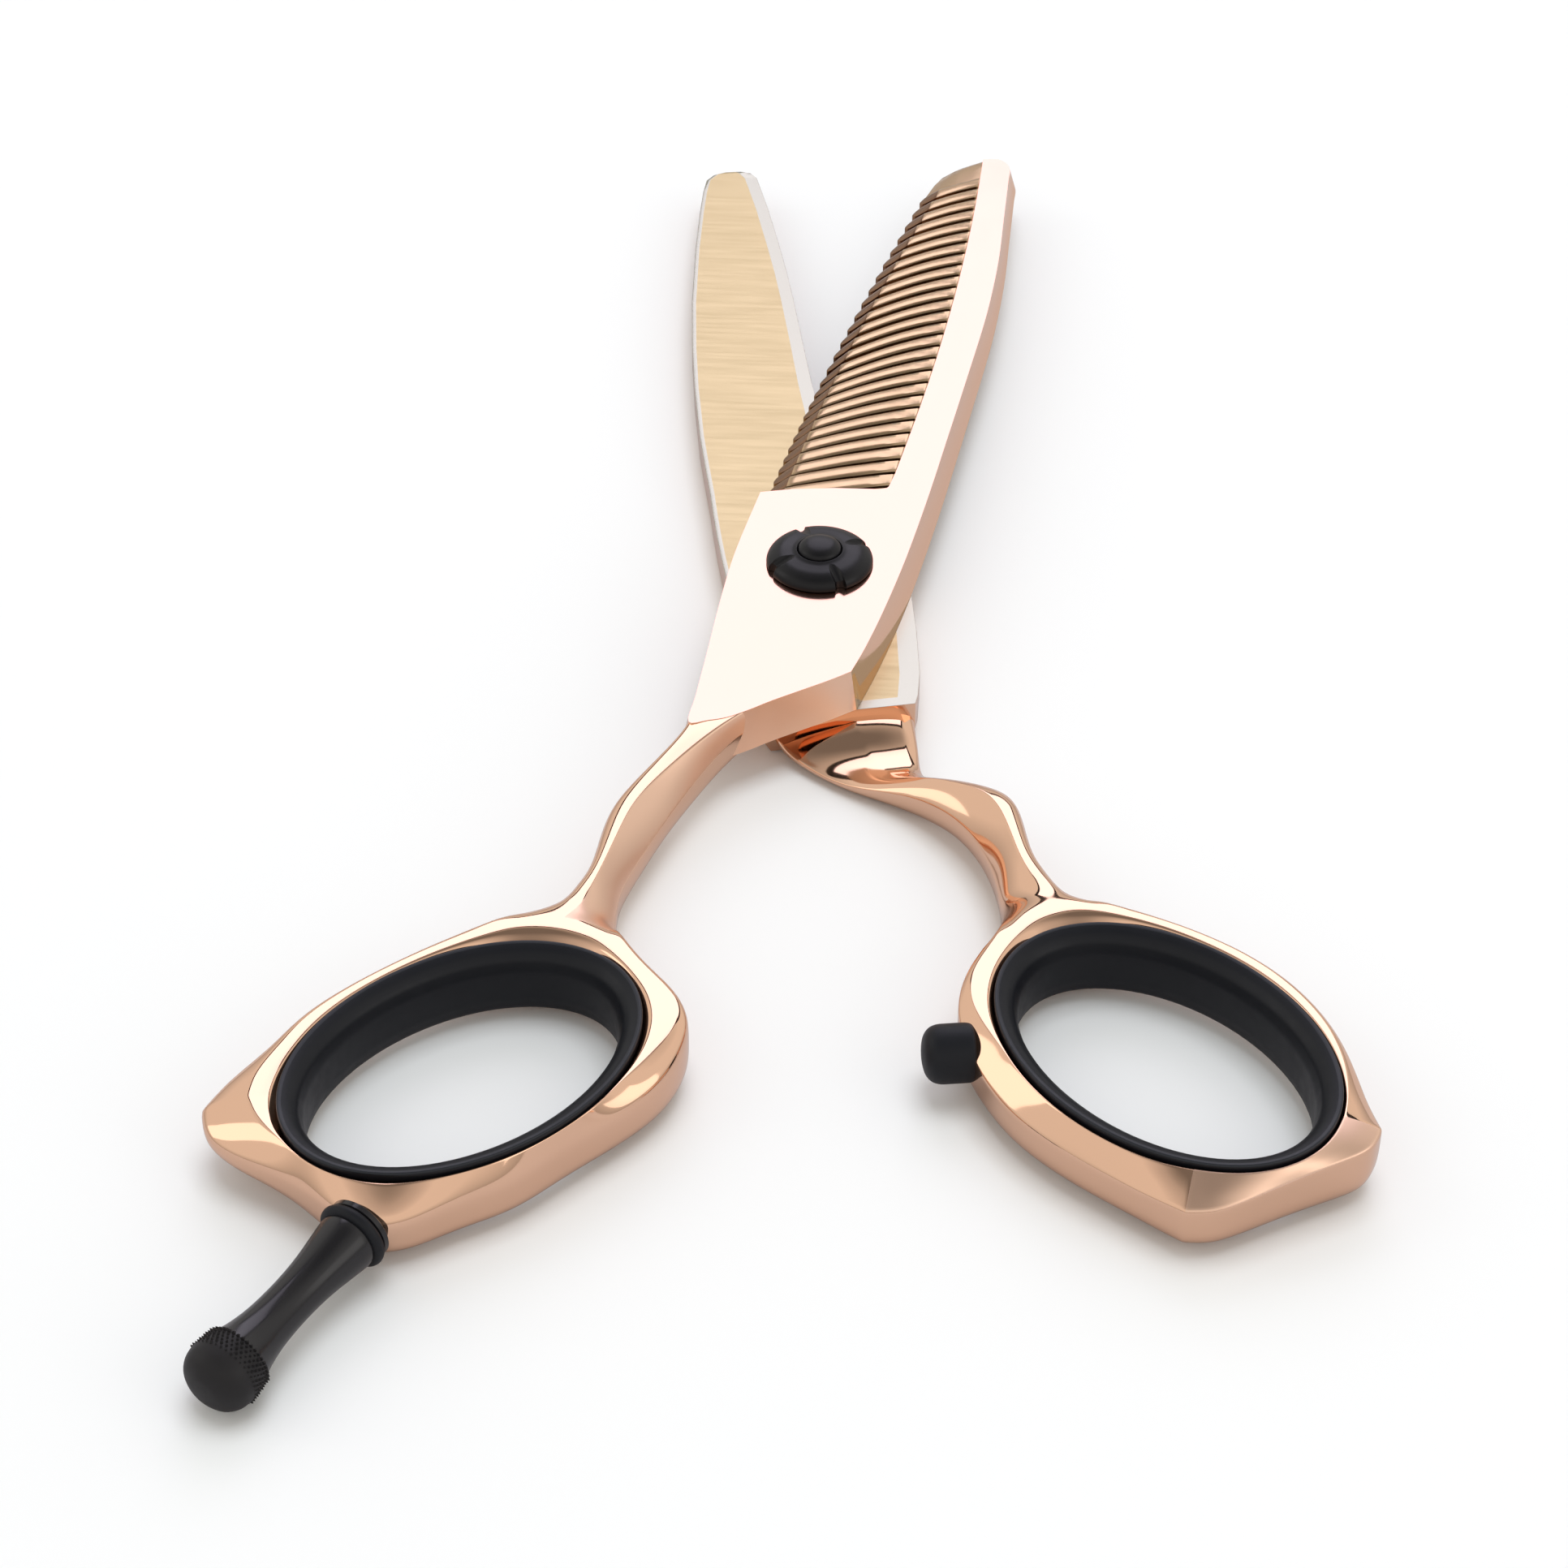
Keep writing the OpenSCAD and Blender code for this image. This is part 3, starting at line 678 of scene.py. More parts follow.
class SHEARS_OT_comb_arm(bpy.types.Operator):
    """Shank and finger ring of the comb half"""

    bl_idname = "shears.comb_arm"
    bl_label = "Comb arm"

    def execute(self, context):
        def section(i, near, width, thick):
            horn = max(0.0, 1 - abs(i - 20) / 3.0)
            lift = max(0.0, 1 - abs(i - 21) / 5.5)
            hub = smoothstep(0, 1, 1 - abs(i - 5) / 7)
            w = width * (1 + 0.16 * horn)
            begin = 1.0 + (w - 1.0) * (0.12 + 0.25 * hub)
            flat = max(w * (0.82 - 0.42 * near), begin + 0.12)
            top = 2.35 + 0.3 * (1 - near) + 0.2 * hub
            return begin, flat, top, top - 0.3 - 1.3 * near, -thick + 1.9 * lift, w

        def widest(i, width):
            return 4.6 if 1 <= i <= 7 else 99

        shape = {
            "section": section, "widest": widest, "corners": (20,), "start": HEEL_PROFILE, "soft": 0.45,
            "ridge": {0: 0.8, 2: 1.0, 5: 0.7, 9: 0.6}, "plain": (), "band": (2, 3, 4), "wall": (5, 6, 7, 8),
        }
        obj = arm(
            "comb_arm", "comb", FINGER_CENTRE, FINGER_TURN, FINGER_RING, COMB_SHANK,
            (2, 3, 4, 5, 6), COMB_PROFILE, shape,
        )
        finish_piece(obj, "comb_body", "rose_gold", "comb_half")
        return {"FINISHED"}


class SHEARS_OT_cutting_arm(bpy.types.Operator):
    """Shank and thumb ring of the cutting half"""

    bl_idname = "shears.cutting_arm"
    bl_label = "Cutting arm"

    def execute(self, context):
        def section(i, near, width, thick):
            hub = smoothstep(0, 1, 1 - abs(i - 21) / 7)
            corner = max(0.0, 1 - abs(i - 42) / 1.5) + max(0.0, 1 - abs(i - 3) / 1.5)
            w = width * (1 + 0.06 * corner)
            begin = 1.0 + (w - 1.0) * (0.12 + 0.25 * hub)
            flat = max(w * (0.82 - 0.48 * near), begin + 0.12)
            top = 2.35 + 0.3 * (1 - near) + 0.2 * hub
            edge = top - 0.3 - 1.4 * near
            # the chiselled end, from section 42 round to section 3, is one plane from the dish's
            # ridge to the edge, and the sections beside it are half way there
            past = (i - 42) % 48
            share = 1.0 if past <= 9 else 0.45 if past in (10, 47) else 0.0
            plane = (1.2, 1.35, 2.45, 1.1 + 0.9 * min(past, 9) / 9 if past < 47 else 1.1)
            begin, flat, top, edge = (a + (b - a) * share for a, b in zip((begin, flat, top, edge), plane))
            return begin, flat, top, edge, -thick, w

        def widest(i, width):
            return 4.6 if 19 <= i <= 25 else 99

        # the chiselled end's ring sections take the painted sheen
        shape = {
            "section": section, "widest": widest, "corners": (3, 42), "start": mirrored(COMB_PROFILE),
            "soft": 1.0, "ridge": {4: 0.8, 2: 1.0, 17: 0.7, 13: 0.6},
            "plain": (42, 43, 44, 45, 46, 47, 0, 1, 2), "band": (), "wall": (),
        }
        obj = arm(
            "cutting_arm", "cutting", THUMB_CENTRE, THUMB_TURN, THUMB_RING, CUTTING_SHANK,
            (20, 21, 22, 23, 24), mirrored(COMB_PROFILE), shape,
        )
        finish_piece(obj, "cutting_body", "rose_gold", "cutting_half")
        return {"FINISHED"}


class SHEARS_OT_inserts(bpy.types.Operator):
    """Rubber inserts of both rings, with their flared lips"""

    bl_idname = "shears.inserts"
    bl_label = "Finger inserts"

    def execute(self, context):
        profile = rounded(
            [
                (-0.85, 0), (-0.78, 1.2), (-0.45, 2.1), (0.1, 2.62), (0.72, 2.86), (1.0, 2.86),
                (0.98, 1.95), (0.2, 1.9), (0.02, 1.8), (0.02, -2.4), (0.1, -2.58), (0.4, -2.64),
                (0.42, -2.9), (0.2, -2.95), (-0.2, -2.85), (-0.6, -2.4), (-0.83, -1.4), (-0.85, 0),
            ],
            0.25, 3,
        )[:-1]
        count = 96
        for name, half, centre, turn, body, node in (
            ("finger_liner", "comb", FINGER_CENTRE, FINGER_TURN, "comb_body", "finger_insert"),
            ("thumb_liner", "cutting", THUMB_CENTRE, THUMB_TURN, "cutting_body", "thumb_insert"),
        ):
            verts = [
                bore_point(centre, turn, 2 * math.pi * i / count, d, z)
                for i in range(count) for d, z in profile
            ]
            size = len(profile)
            faces, kinds = [], []
            for i in range(count):
                n = (i + 1) % count
                for j in range(size):
                    k = (j + 1) % size
                    faces.append((i * size + j, n * size + j, n * size + k, i * size + k))
                    # the lip's outer rim takes the painted highlight, a lighter, bluer rubber
                    on_lip = profile[j][1] > 2.75 and profile[k][1] > 2.7 and profile[j][0] > 0.55
                    kinds.append(int(on_lip))
            made = looks()
            obj = build(
                name, verts, faces, [made["shears_rubber"], made["shears_lip"]], place(half),
                face_materials=kinds, sharp=50,
            )
            finish_piece(obj, body, "insert_rubber", node)
        return {"FINISHED"}


# ---------------------------------------------------------------- blades
def pivot_cutter(steps):
    """Stepped cylinder on the pivot axis from (diameter, low z, high z) in row millimetres."""
    profile = [(0, steps[0][1])]
    for diameter, low, high in steps:
        profile += [(diameter / 2, low), (diameter / 2, high)]
    profile.append((0, steps[-1][2]))
    return lathe("cutter", profile, looks()["shears_gold"], Matrix.Scale(MM, 4), segments=64)


class SHEARS_OT_comb_blade(bpy.types.Operator):
    """Heel, polished back and tip of the comb blade"""

    bl_idname = "shears.comb_blade"
    bl_label = "Comb blade"

    def execute(self, context):
        made = looks()
        s = context.scene.shears_blade
        heel = spline(COMB_HEEL, 4)
        spine = spline(COMB_SPINE, 4)
        roots = [(root_x(y), y) for y in (72.9, *range(70, 18, -4), 20, 17, 14.5)]
        roots += [(3.62, 12.3), (3.5, 12.05), (2.9, 11.75), (-1.0, 11.1), (-4.5, 10.2), (-7.1, 9.2)]
        # each point with how far the wall has moved out at its foot
        loop = []
        for x, y in heel[:-1]:
            end = smoothstep(-5.9, -4.6, x)
            dx = 0.3 * end - 0.7 * smoothstep(8, 3, y) * (1 - end)
            dy = -0.85 * end - 0.3 * (1 - end) * (y < -20)
            loop.append((x, y, dx, dy))
        for x, y in spine:
            end = smoothstep(-12, -14.3, y)
            loop.append((x, y, 0.65 - 0.05 * end, -0.6 * end))
        loop += [(x, y, 0.0, 0.0) for x, y in roots]
        top = [(x, y, blade_thick(y)) for x, y, _, _ in loop]
        low = [(x + dx, y + dy, RIDE_GAP) for x, y, dx, dy in loop]
        n = len(loop)
        faces = [(k, (k + 1) % n, n + (k + 1) % n, n + k) for k in range(n)]
        faces.append(tuple(range(n, 2 * n)))
        upper = [k for k in range(n) if loop[k][1] >= 19.999]
        low_part = [k for k in range(n) if loop[k][1] <= 20.001]
        faces += [tuple(upper), tuple(low_part)]
        obj = build("comb_back", top + low, faces, made["shears_gold"], place("comb"), sharp=25)
        cut(obj, pivot_cutter([(5.6, 0, 5.0), (7.8, 5.0, 9.0)]))
        bevel(obj, s.bevel * 1.1)
        obj.data.materials.append(made["shears_soft"])
        obj.data.materials.append(made["shears_flat"])
        # the heel's end wall, turned forward, takes the painted sheen, and the blade's top flat the painted
        # shade
        facing = place("comb").to_3x3().inverted()
        for polygon in obj.data.polygons:
            way = (facing @ polygon.normal).normalized()
            if way.y < -0.6 and polygon.center.y < -10 * MM:
                polygon.material_index = 1
            elif way.z > 0.9 and polygon.center.z > 4 * MM:
                polygon.material_index = 2
        finish_piece(obj, "comb_body", "rose_gold")

        # the short plain part past the last slot, root side first, following the line of the slots
        columns = [0.0, 0.25, 0.5, 0.72, 1.0]
        rows = []
        for xr, yr, xt, yt in (
            (2.8, 67.6, -3.1, 65.5), (2.65, 69.3, -2.75, 67.6), (2.5, 70.8, -2.4, 69.6),
            (2.4, 71.9, -1.95, 71.1), (2.4, 72.7, -0.8, 72.3), (2.5, 73.15, 1.0, 73.05),
        ):
            top = [(xr + 0.6, yr, blade_thick(yr) * 0.93)]
            for c in columns:
                x, y = xr + (xt - xr) * c, yr + (yt - yr) * c ** 1.6
                part = 0.985 - 0.42 * c / 0.72 if c <= 0.72 else 0.565 - 0.33 * (c - 0.72) / 0.28
                top.append((x, y, blade_thick(y) * part))
            rows.append(top + [(x, y, RIDE_GAP) for x, y, _ in (top[-1], top[0])])
        verts = [p for row in rows for p in row]
        obj = build("comb_tip", verts, loft_faces(rows), made["shears_tooth"], place("comb"), sharp=25)
        bevel(obj, s.bevel * 0.8)
        finish_piece(obj, "comb_body", "rose_gold")
        return {"FINISHED"}


def tooth_tree():
    """One tooth, drawn in a unit space, is repeated and bent onto the blade."""
    f = Fields(
        "shears_teeth",
        [
            ("Count", "NodeSocketInt"), ("Pitch", "NodeSocketFloat"), ("First", "NodeSocketFloat"),
            ("Slot", "NodeSocketFloat"), ("Bevel", "NodeSocketFloat"), ("Span", "NodeSocketFloat"),
            ("Material", "NodeSocketMaterial"), ("End material", "NodeSocketMaterial"),
        ],
    )
    given = f.given
    line = f.node("GeometryNodeMeshLine", Count=given["Count"])
    line.inputs["Offset"].default_value = (0, 0, 0)
    index = f.node("GeometryNodeInputIndex").outputs[0]
    store = f.node("GeometryNodeStoreNamedAttribute", Geometry=line.outputs[0], Name="tooth", Value=index)
    store.data_type, store.domain = "FLOAT", "POINT"
    f.feed(store.inputs["Value"], index)
    copies = f.node("GeometryNodeInstanceOnPoints", Points=store.outputs[0], Instance=given["Geometry"])
    real = f.node("GeometryNodeRealizeInstances", Geometry=copies.outputs[0])
    read = f.node("GeometryNodeInputNamedAttribute", Name="tooth")
    read.data_type = "FLOAT"
    i = read.outputs[0]
    split = f.node("ShaderNodeSeparateXYZ", Vector=f.node("GeometryNodeInputPosition").outputs[0])
    along, across, up = split.outputs
    y0 = f.add(f.mul(f.sub(i, 0.5), given["Pitch"]), given["First"])
    dy = f.sub(y0, ROOT_Y)
    root = f.sub(ROOT_X, f.mul(ROOT_BOW, f.mul(dy, dy)))
    drop = f.maths("MINIMUM", f.add(DROP_FIRST, f.mul(DROP_STEP, f.sub(i, 0.5))), DROP_MOST)
    # where the tooth ends: the tip line at the height the tooth has dropped to
    rough_tip = f.add(-7.0, f.mul(f.sub(y0, TIP_Y), 0.055))
    reach_s = f.maths("DIVIDE", f.sub(root, rough_tip), given["Span"])
    y_tip = f.sub(y0, f.mul(drop, f.maths("POWER", f.maths("MAXIMUM", reach_s, 0.0), DROP_POWER)))
    e = f.sub(y_tip, TIP_Y)
    tip = f.add(TIP_X, f.add(f.mul(TIP_LEAN, e), f.mul(TIP_BOW, f.mul(e, e))))
    long = f.sub(root, tip)
    main = f.maths("MINIMUM", along, 1.0)
    rest = f.maths("MAXIMUM", f.sub(along, 1.0), 0.0)
    run = f.add(f.mul(main, f.sub(long, given["Bevel"])), f.mul(rest, given["Bevel"]))
    s = f.maths("MAXIMUM", f.maths("DIVIDE", run, given["Span"]), 0.0)
    x = f.sub(root, run)
    fall = f.mul(drop, f.maths("POWER", s, DROP_POWER))
    steep = f.mul(DROP_POWER, f.maths("POWER", s, DROP_POWER - 1))
    slope = f.maths("DIVIDE", f.mul(drop, steep), given["Span"])
    stretch = f.maths("SQRT", f.add(1.0, f.mul(slope, slope)))
    # the slot's root end is round: its half width grows like a circle
    r = f.mul(given["Slot"], 0.5)
    q = f.maths("MAXIMUM", f.sub(1.0, f.maths("DIVIDE", f.maths("MAXIMUM", run, 0.0), r)), 0.0)
    opened = f.maths("SQRT", f.maths("MAXIMUM", f.sub(1.0, f.mul(q, q)), 0.0))
    width = f.sub(given["Pitch"], f.mul(f.mul(given["Slot"], stretch), opened))
    y = f.add(f.sub(y0, fall), f.mul(across, width))
    thick = f.sub(RIDE_Z, f.mul(THIN_RATE, f.maths("MAXIMUM", f.sub(y, THIN_FROM), 0.0)))
    part = f.add(f.sub(0.99, f.mul(main, 0.44)), f.mul(rest, -0.33))
    z = f.add(RIDE_GAP, f.mul(up, f.sub(f.mul(thick, part), RIDE_GAP)))
    kept = f.node("GeometryNodeStoreNamedAttribute", Geometry=real.outputs[0], Name="along")
    kept.data_type, kept.domain = "FLOAT", "POINT"
    f.feed(kept.inputs["Value"], along)
    moved = f.node("GeometryNodeSetPosition", Geometry=kept.outputs[0], Position=f.xyz(x, y, z))
    painted = f.node("GeometryNodeSetMaterial", Geometry=moved.outputs[0], Material=given["Material"])
    # past the start of the bevel the tooth takes the end material, a painted dark reflection
    past = f.node("GeometryNodeInputNamedAttribute", Name="along")
    past.data_type = "FLOAT"
    end = f.maths("GREATER_THAN", past.outputs[0], 1.0)
    painted = f.node(
        "GeometryNodeSetMaterial", Geometry=painted.outputs[0], Selection=end,
        Material=given["End material"],
    )
    f.tree.links.new(painted.outputs[0], f.out.inputs[0])
    return f


class SHEARS_OT_comb_teeth(bpy.types.Operator):
    """Teeth of the comb blade"""

    bl_idname = "shears.comb_teeth"
    bl_label = "Comb teeth"

    def execute(self, context):
        s = context.scene.shears_blade
        # unit tooth: x runs root to tip (the bevel from 1 to 2), y across, z from the ride plane up
        steps = [-0.025, 0.0, 0.004, 0.012, 0.022, 0.034, 0.06, 0.12, 0.22, 0.34, 0.46, 0.58]
        steps += [0.7, 0.82, 0.93, 1.0, 1.2, 1.45, 1.65, 1.8, 1.9, 1.96, 2.0]
        rows = []
        for x in steps:
            end = math.sqrt(max(1 - max(0, (x - 1.45) / 0.56) ** 2, 0.02))
            h = 0.5 * end
            crown = 1.0 - 0.035 * min(max(x, 0) * 3, 1)
            sunk = 1 - 0.06 * max(0, 1 - (x + 0.025) / 0.045)
            edge, brow = (crown - 0.03) * sunk, (crown + 0.015) * sunk
            rows.append(
                [
                    (x, -h, 0.0), (x, -h, edge), (x, -h * 0.8, brow), (x, -h * 0.4, sunk),
                    (x, h * 0.4, sunk), (x, h * 0.8, brow), (x, h, edge), (x, h, 0.0),
                ]
            )
        verts = [p for row in rows for p in row]
        made = looks()
        obj = build(
            "comb_teeth", verts, loft_faces(rows), made["shears_tooth"], Matrix.Identity(4), sharp=35
        )
        tooth_tree().attach(
            obj, Count=s.teeth + 1, Pitch=s.pitch / MM, First=s.first / MM, Slot=s.slot / MM,
            Bevel=1.6, Span=11.6, Material=made["shears_tooth"], End_material=made["shears_tooth_end"],
        )
        obj.data.transform(place("comb"))
        face_outward(obj.data)
        finish_piece(obj, "comb_body", "rose_gold")
        return {"FINISHED"}


class SHEARS_OT_cutting_blade(bpy.types.Operator):
    """Heel and blade of the cutting half, with its satin inner face and ride line"""

    bl_idname = "shears.cutting_blade"
    bl_label = "Cutting blade"

    def execute(self, context):
        made = looks()
        s = context.scene.shears_blade
        rows = []
        for xl, yl, xr, yr in CUTTING_ROWS:
            t = blade_thick(yr)
            sharp = smoothstep(3, 17, yr)
            line = 1.7 - 0.5 * smoothstep(10, 40, yr)
            wide = xr - xl
            line = min(line, wide * 0.3)
            left = min(0.4, wide * 0.15)

            def lerp(blunt, keen):
                return blunt + (keen - blunt) * sharp

            def at(x, z):
                return (x, yl + (yr - yl) * (x - xl) / wide, z)

            rows.append(
                [
                    at(xl, -0.06), at(xl + left, 0), at(xr - line, 0), at(xr, 0),
                    at(xr, lerp(-0.8 * t, -0.15)),
                    at(xr - lerp(0.5, min(2.6, wide * 0.45)), lerp(-t, -0.55 * t)),
                    at(xl + lerp(wide * 0.5, wide * 0.4), -t), at(xl + 0.5, -t), at(xl, -0.75 * t),
                ]
            )
        size = len(rows[0])
        verts = [p for row in rows for p in row]
        # the ride face is satin between two polished lines, and polished all across at the heel's end
        kinds = [2, 2, 2] + [0] * (size - 3)
        kinds += ([2, 1, 2] + [0] * (size - 3)) * (len(rows) - 2)
        obj = build(
            "cutting_blade", verts, loft_faces(rows),
            [made["shears_gold"], made["shears_satin"], made["shears_ride"]],
            place("cutting"), face_materials=kinds + [0, 0], sharp=25,
        )
        cut(obj, pivot_cutter([(7.6, -1, 1.2), (4.4, 1.2, 3.2), (9.6, 3.2, 5.0)]))
        bevel(obj, s.bevel * 0.8)
        finish_piece(obj, "cutting_body", "rose_gold")
        return {"FINISHED"}


# ---------------------------------------------------------------- pivot and fittings
class SHEARS_OT_dial(bpy.types.Operator):
    """Tension dial and the bolt with its domed end"""

    bl_idname = "shears.dial"
    bl_label = "Dial and bolt"

    def execute(self, context):
        made = looks()
        r = context.scene.shears_fitting.dial / 2 / MM
        base = 6.83
        brim = [
            (r * 0.985, base + 0.03), (r, base + 0.15), (r * 0.99, base + 0.4), (r * 0.95, base + 0.7),
            (r * 0.87, base + 0.98), (r * 0.74, base + 1.19), (r * 0.6, base + 1.27),
            (2.3, base + 1.32), (1.95, base + 1.42),
        ]
        profile = [(1.84, 6.25), (3.65, 6.25), (3.65, base), (r * 0.96, base)] + spline(brim, 4)
        profile.append((1.84, base + 1.3))
        obj = lathe("dial_cap", profile, made["shears_dial"], Matrix.Scale(MM, 4), segments=128, sharp=38)
        for k in range(4):
            turn = Matrix.Rotation(math.radians(26.5 + 90 * k), 4, "Z")
            for out, high, lean, wide, long in ((r + 0.02, -0.2, -8, 0.5, 3), (2.9, 1.62, 114, 0.52, 3)):
                groove = Matrix.Translation((out * MM, 0, (base + high) * MM))
                groove = groove @ Matrix.Rotation(math.radians(lean), 4, "Y") @ Matrix.Scale(MM, 4)
                tool = lathe(
                    "cutter", [(0, -0.6), (wide, -0.6), (wide, long), (0, long)], made["shears_dial"],
                    turn @ groove, segments=32,
                )
                cut(obj, tool)
        bevel(obj, 0.06 * MM, 2, 35)
        finish_piece(obj, "dial_body", "dial_black", "tension_dial")

        end = base + 1.2
        dome = [
            (1.8, end - 0.3), (1.8, end + 0.2), (1.68, end + 0.46), (1.42, end + 0.64),
            (1.05, end + 0.77), (0.55, end + 0.84), (0, end + 0.86),
        ]
        profile = [(0, 0.0), (3.72, 0.0), (3.8, 0.08), (3.8, 1.2), (2.2, 1.2), (2.2, 6.2), (1.8, 6.2)]
        profile += spline(dome, 3)
        obj = lathe("bolt_core", profile, made["shears_dial"], Matrix.Scale(MM, 4), segments=96, sharp=35)
        finish_piece(obj, "cutting_body", "bolt_black", "pivot_bolt")
        return {"FINISHED"}


def knurl_tree():
    """One grain is repeated in rows round an axis, with its size varied a little."""
    f = Fields(
        "shears_knurl",
        [
            ("Rows", "NodeSocketInt"), ("Columns", "NodeSocketInt"), ("Radius", "NodeSocketFloat"),
            ("Taper", "NodeSocketFloat"), ("Start", "NodeSocketFloat"), ("Step", "NodeSocketFloat"),
            ("Seed", "NodeSocketInt"), ("Material", "NodeSocketMaterial"),
        ],
    )
    given = f.given
    line = f.node("GeometryNodeMeshLine", Count=f.mul(given["Rows"], given["Columns"]))
    line.inputs["Offset"].default_value = (0, 0, 0)
    index = f.node("GeometryNodeInputIndex").outputs[0]
    row = f.maths("FLOOR", f.maths("DIVIDE", f.add(index, 0.01), given["Columns"]))
    column = f.sub(index, f.mul(row, given["Columns"]))
    angle = f.maths("DIVIDE", f.mul(f.add(column, f.mul(row, 0.5)), 2 * math.pi), given["Columns"])
    radius = f.add(given["Radius"], f.mul(given["Taper"], row))
    x = f.mul(radius, f.maths("COSINE", angle))
    y = f.mul(radius, f.maths("SINE", angle))
    z = f.add(given["Start"], f.mul(row, given["Step"]))
    spread = f.node("GeometryNodeSetPosition", Geometry=line.outputs[0], Position=f.xyz(x, y, z))
    chance = f.node("FunctionNodeRandomValue")
    chance.data_type = "FLOAT"
    ranges = [s for s in chance.inputs if s.name in ("Min", "Max") and s.type == "VALUE"]
    ranges[0].default_value, ranges[1].default_value = 0.75, 1.15
    f.feed(chance.inputs["Seed"], given["Seed"])
    value = [s for s in chance.outputs if s.type == "VALUE"][0]
    copies = f.node(
        "GeometryNodeInstanceOnPoints", Points=spread.outputs[0], Instance=given["Geometry"],
        Rotation=f.xyz(0.0, 0.0, angle), Scale=value,
    )
    real = f.node("GeometryNodeRealizeInstances", Geometry=copies.outputs[0])
    painted = f.node("GeometryNodeSetMaterial", Geometry=real.outputs[0], Material=given["Material"])
    f.tree.links.new(painted.outputs[0], f.out.inputs[0])
    return f


class SHEARS_OT_finger_rest(bpy.types.Operator):
    """Finger rest with its knurled band and O-ring"""

    bl_idname = "shears.finger_rest"
    bl_label = "Finger rest"

    def execute(self, context):
        made = looks()
        s = context.scene.shears_fitting
        far = s.rest / MM
        axis = (
            place("comb") @ Matrix.Translation(REST_ROOT)
            @ Matrix.Rotation(REST_TURN, 4, "Z") @ Matrix.Rotation(math.pi / 2 + REST_DROOP, 4, "Y")
        )
        shaft = spline(
            [
                (2.2, 1.3), (2.2, 1.9), (2.02, 3.2), (1.78, 5.0), (1.66, 6.8), (1.66, 8.8),
                (1.78, 10.6), (2.05, 12.2), (2.38, 13.3),
            ],
            5,
        )
        end = spline(
            [
                (2.5, 13.6), (2.62, 14.4), (2.68, far - 2.1), (2.55, far - 1.3), (2.1, far - 0.62),
                (1.3, far - 0.15), (0.6, far - 0.02), (0, far),
            ],
            5,
        )
        flange = [(0, -0.1), (2.3, -0.1), (2.42, 0.0), (2.42, 0.38), (2.3, 0.48), (1.75, 0.5), (1.75, 1.28)]
        profile = flange + shaft + end
        obj = lathe("rest_shaft", profile, made["shears_black"], axis, segments=96, sharp=45)
        obj.data.materials.append(made["shears_matt"])
        inverse = axis.inverted()
        for polygon in obj.data.polygons:
            if (inverse @ polygon.center).z > 13.4:
                polygon.material_index = 1
        finish_piece(obj, "comb_body", "rest_black", "finger_rest")

        grain = build(
            "rest_knurl",
            [(-0.14, -0.25, 0), (-0.14, 0, -0.28), (-0.14, 0.25, 0), (-0.14, 0, 0.28), (0.25, 0, 0)],
            [(0, 1, 2, 3), (0, 4, 1), (1, 4, 2), (2, 4, 3), (3, 4, 0)],
            made["shears_matt"], Matrix.Identity(4), sharp=20,
        )
        knurl_tree().attach(
            grain, Rows=s.knurl_rows, Columns=s.knurl_columns, Radius=2.42, Taper=0.04, Start=13.3,
            Step=0.3, Seed=s.seed, Material=made["shears_matt"],
        )
        grain.data.transform(axis)
        finish_piece(grain, "comb_body", "rest_black")

        turns = [2 * math.pi * k / 24 for k in range(24)]
        cord = [(2.14 + 0.5 * math.cos(a), 0.92 + 0.47 * math.sin(a)) for a in turns]
        obj = lathe("rest_o_ring", cord, made["shears_bumper"], axis, segments=96, sharp=0)
        finish_piece(obj, "comb_body", "bumper_rubber", "finger_rest_o_ring")
        return {"FINISHED"}


class SHEARS_OT_bumper(bpy.types.Operator):
    """Rubber bumper between the rings"""

    bl_idname = "shears.bumper"
    bl_label = "Stop bumper"

    def execute(self, context):
        axis = place("cutting") @ Matrix.Translation(BUMPER_ROOT) @ Matrix.Rotation(-math.pi / 2, 4, "Y")
        pad = [
            (1.1, 0.0), (2.12, 0.0), (2.2, 0.5), (2.2, 2.6), (2.0, 3.2), (1.5, 3.62), (0.8, 3.8), (0, 3.85),
        ]
        profile = [(0, -1.2), (1.1, -1.2), (1.1, 0.0)] + rounded(pad, 0.35, 4)[1:]
        obj = lathe("bumper", profile, looks()["shears_bumper"], axis, segments=72, sharp=45)
        finish_piece(obj, "cutting_body", "bumper_rubber", "stop_bumper")
        return {"FINISHED"}


class SHEARS_OT_inner_parts(bpy.types.Operator):
    """Finishes of the parts inside the pivot and the rest"""

    bl_idname = "shears.inner_parts"
    bl_label = "Inner parts"

    def execute(self, context):
        made = looks()
        finishes = {
            "finger_rest_stud": "shears_steel", "bolt_lock_pin": "shears_steel",
            "spring_washer": "shears_steel", "click_plate": "shears_steel", "click_balls": "shears_steel",
            "pivot_bush": "shears_bronze", "glide_washer": "shears_nylon", "thrust_washer": "shears_nylon",
        }
        for node, name in finishes.items():
            obj = frame["nodes"][node]
            if not obj.material_slots:
                obj.data.materials.append(made[name])
            for slot in obj.material_slots:
                slot.material = made[name]
        return {"FINISHED"}


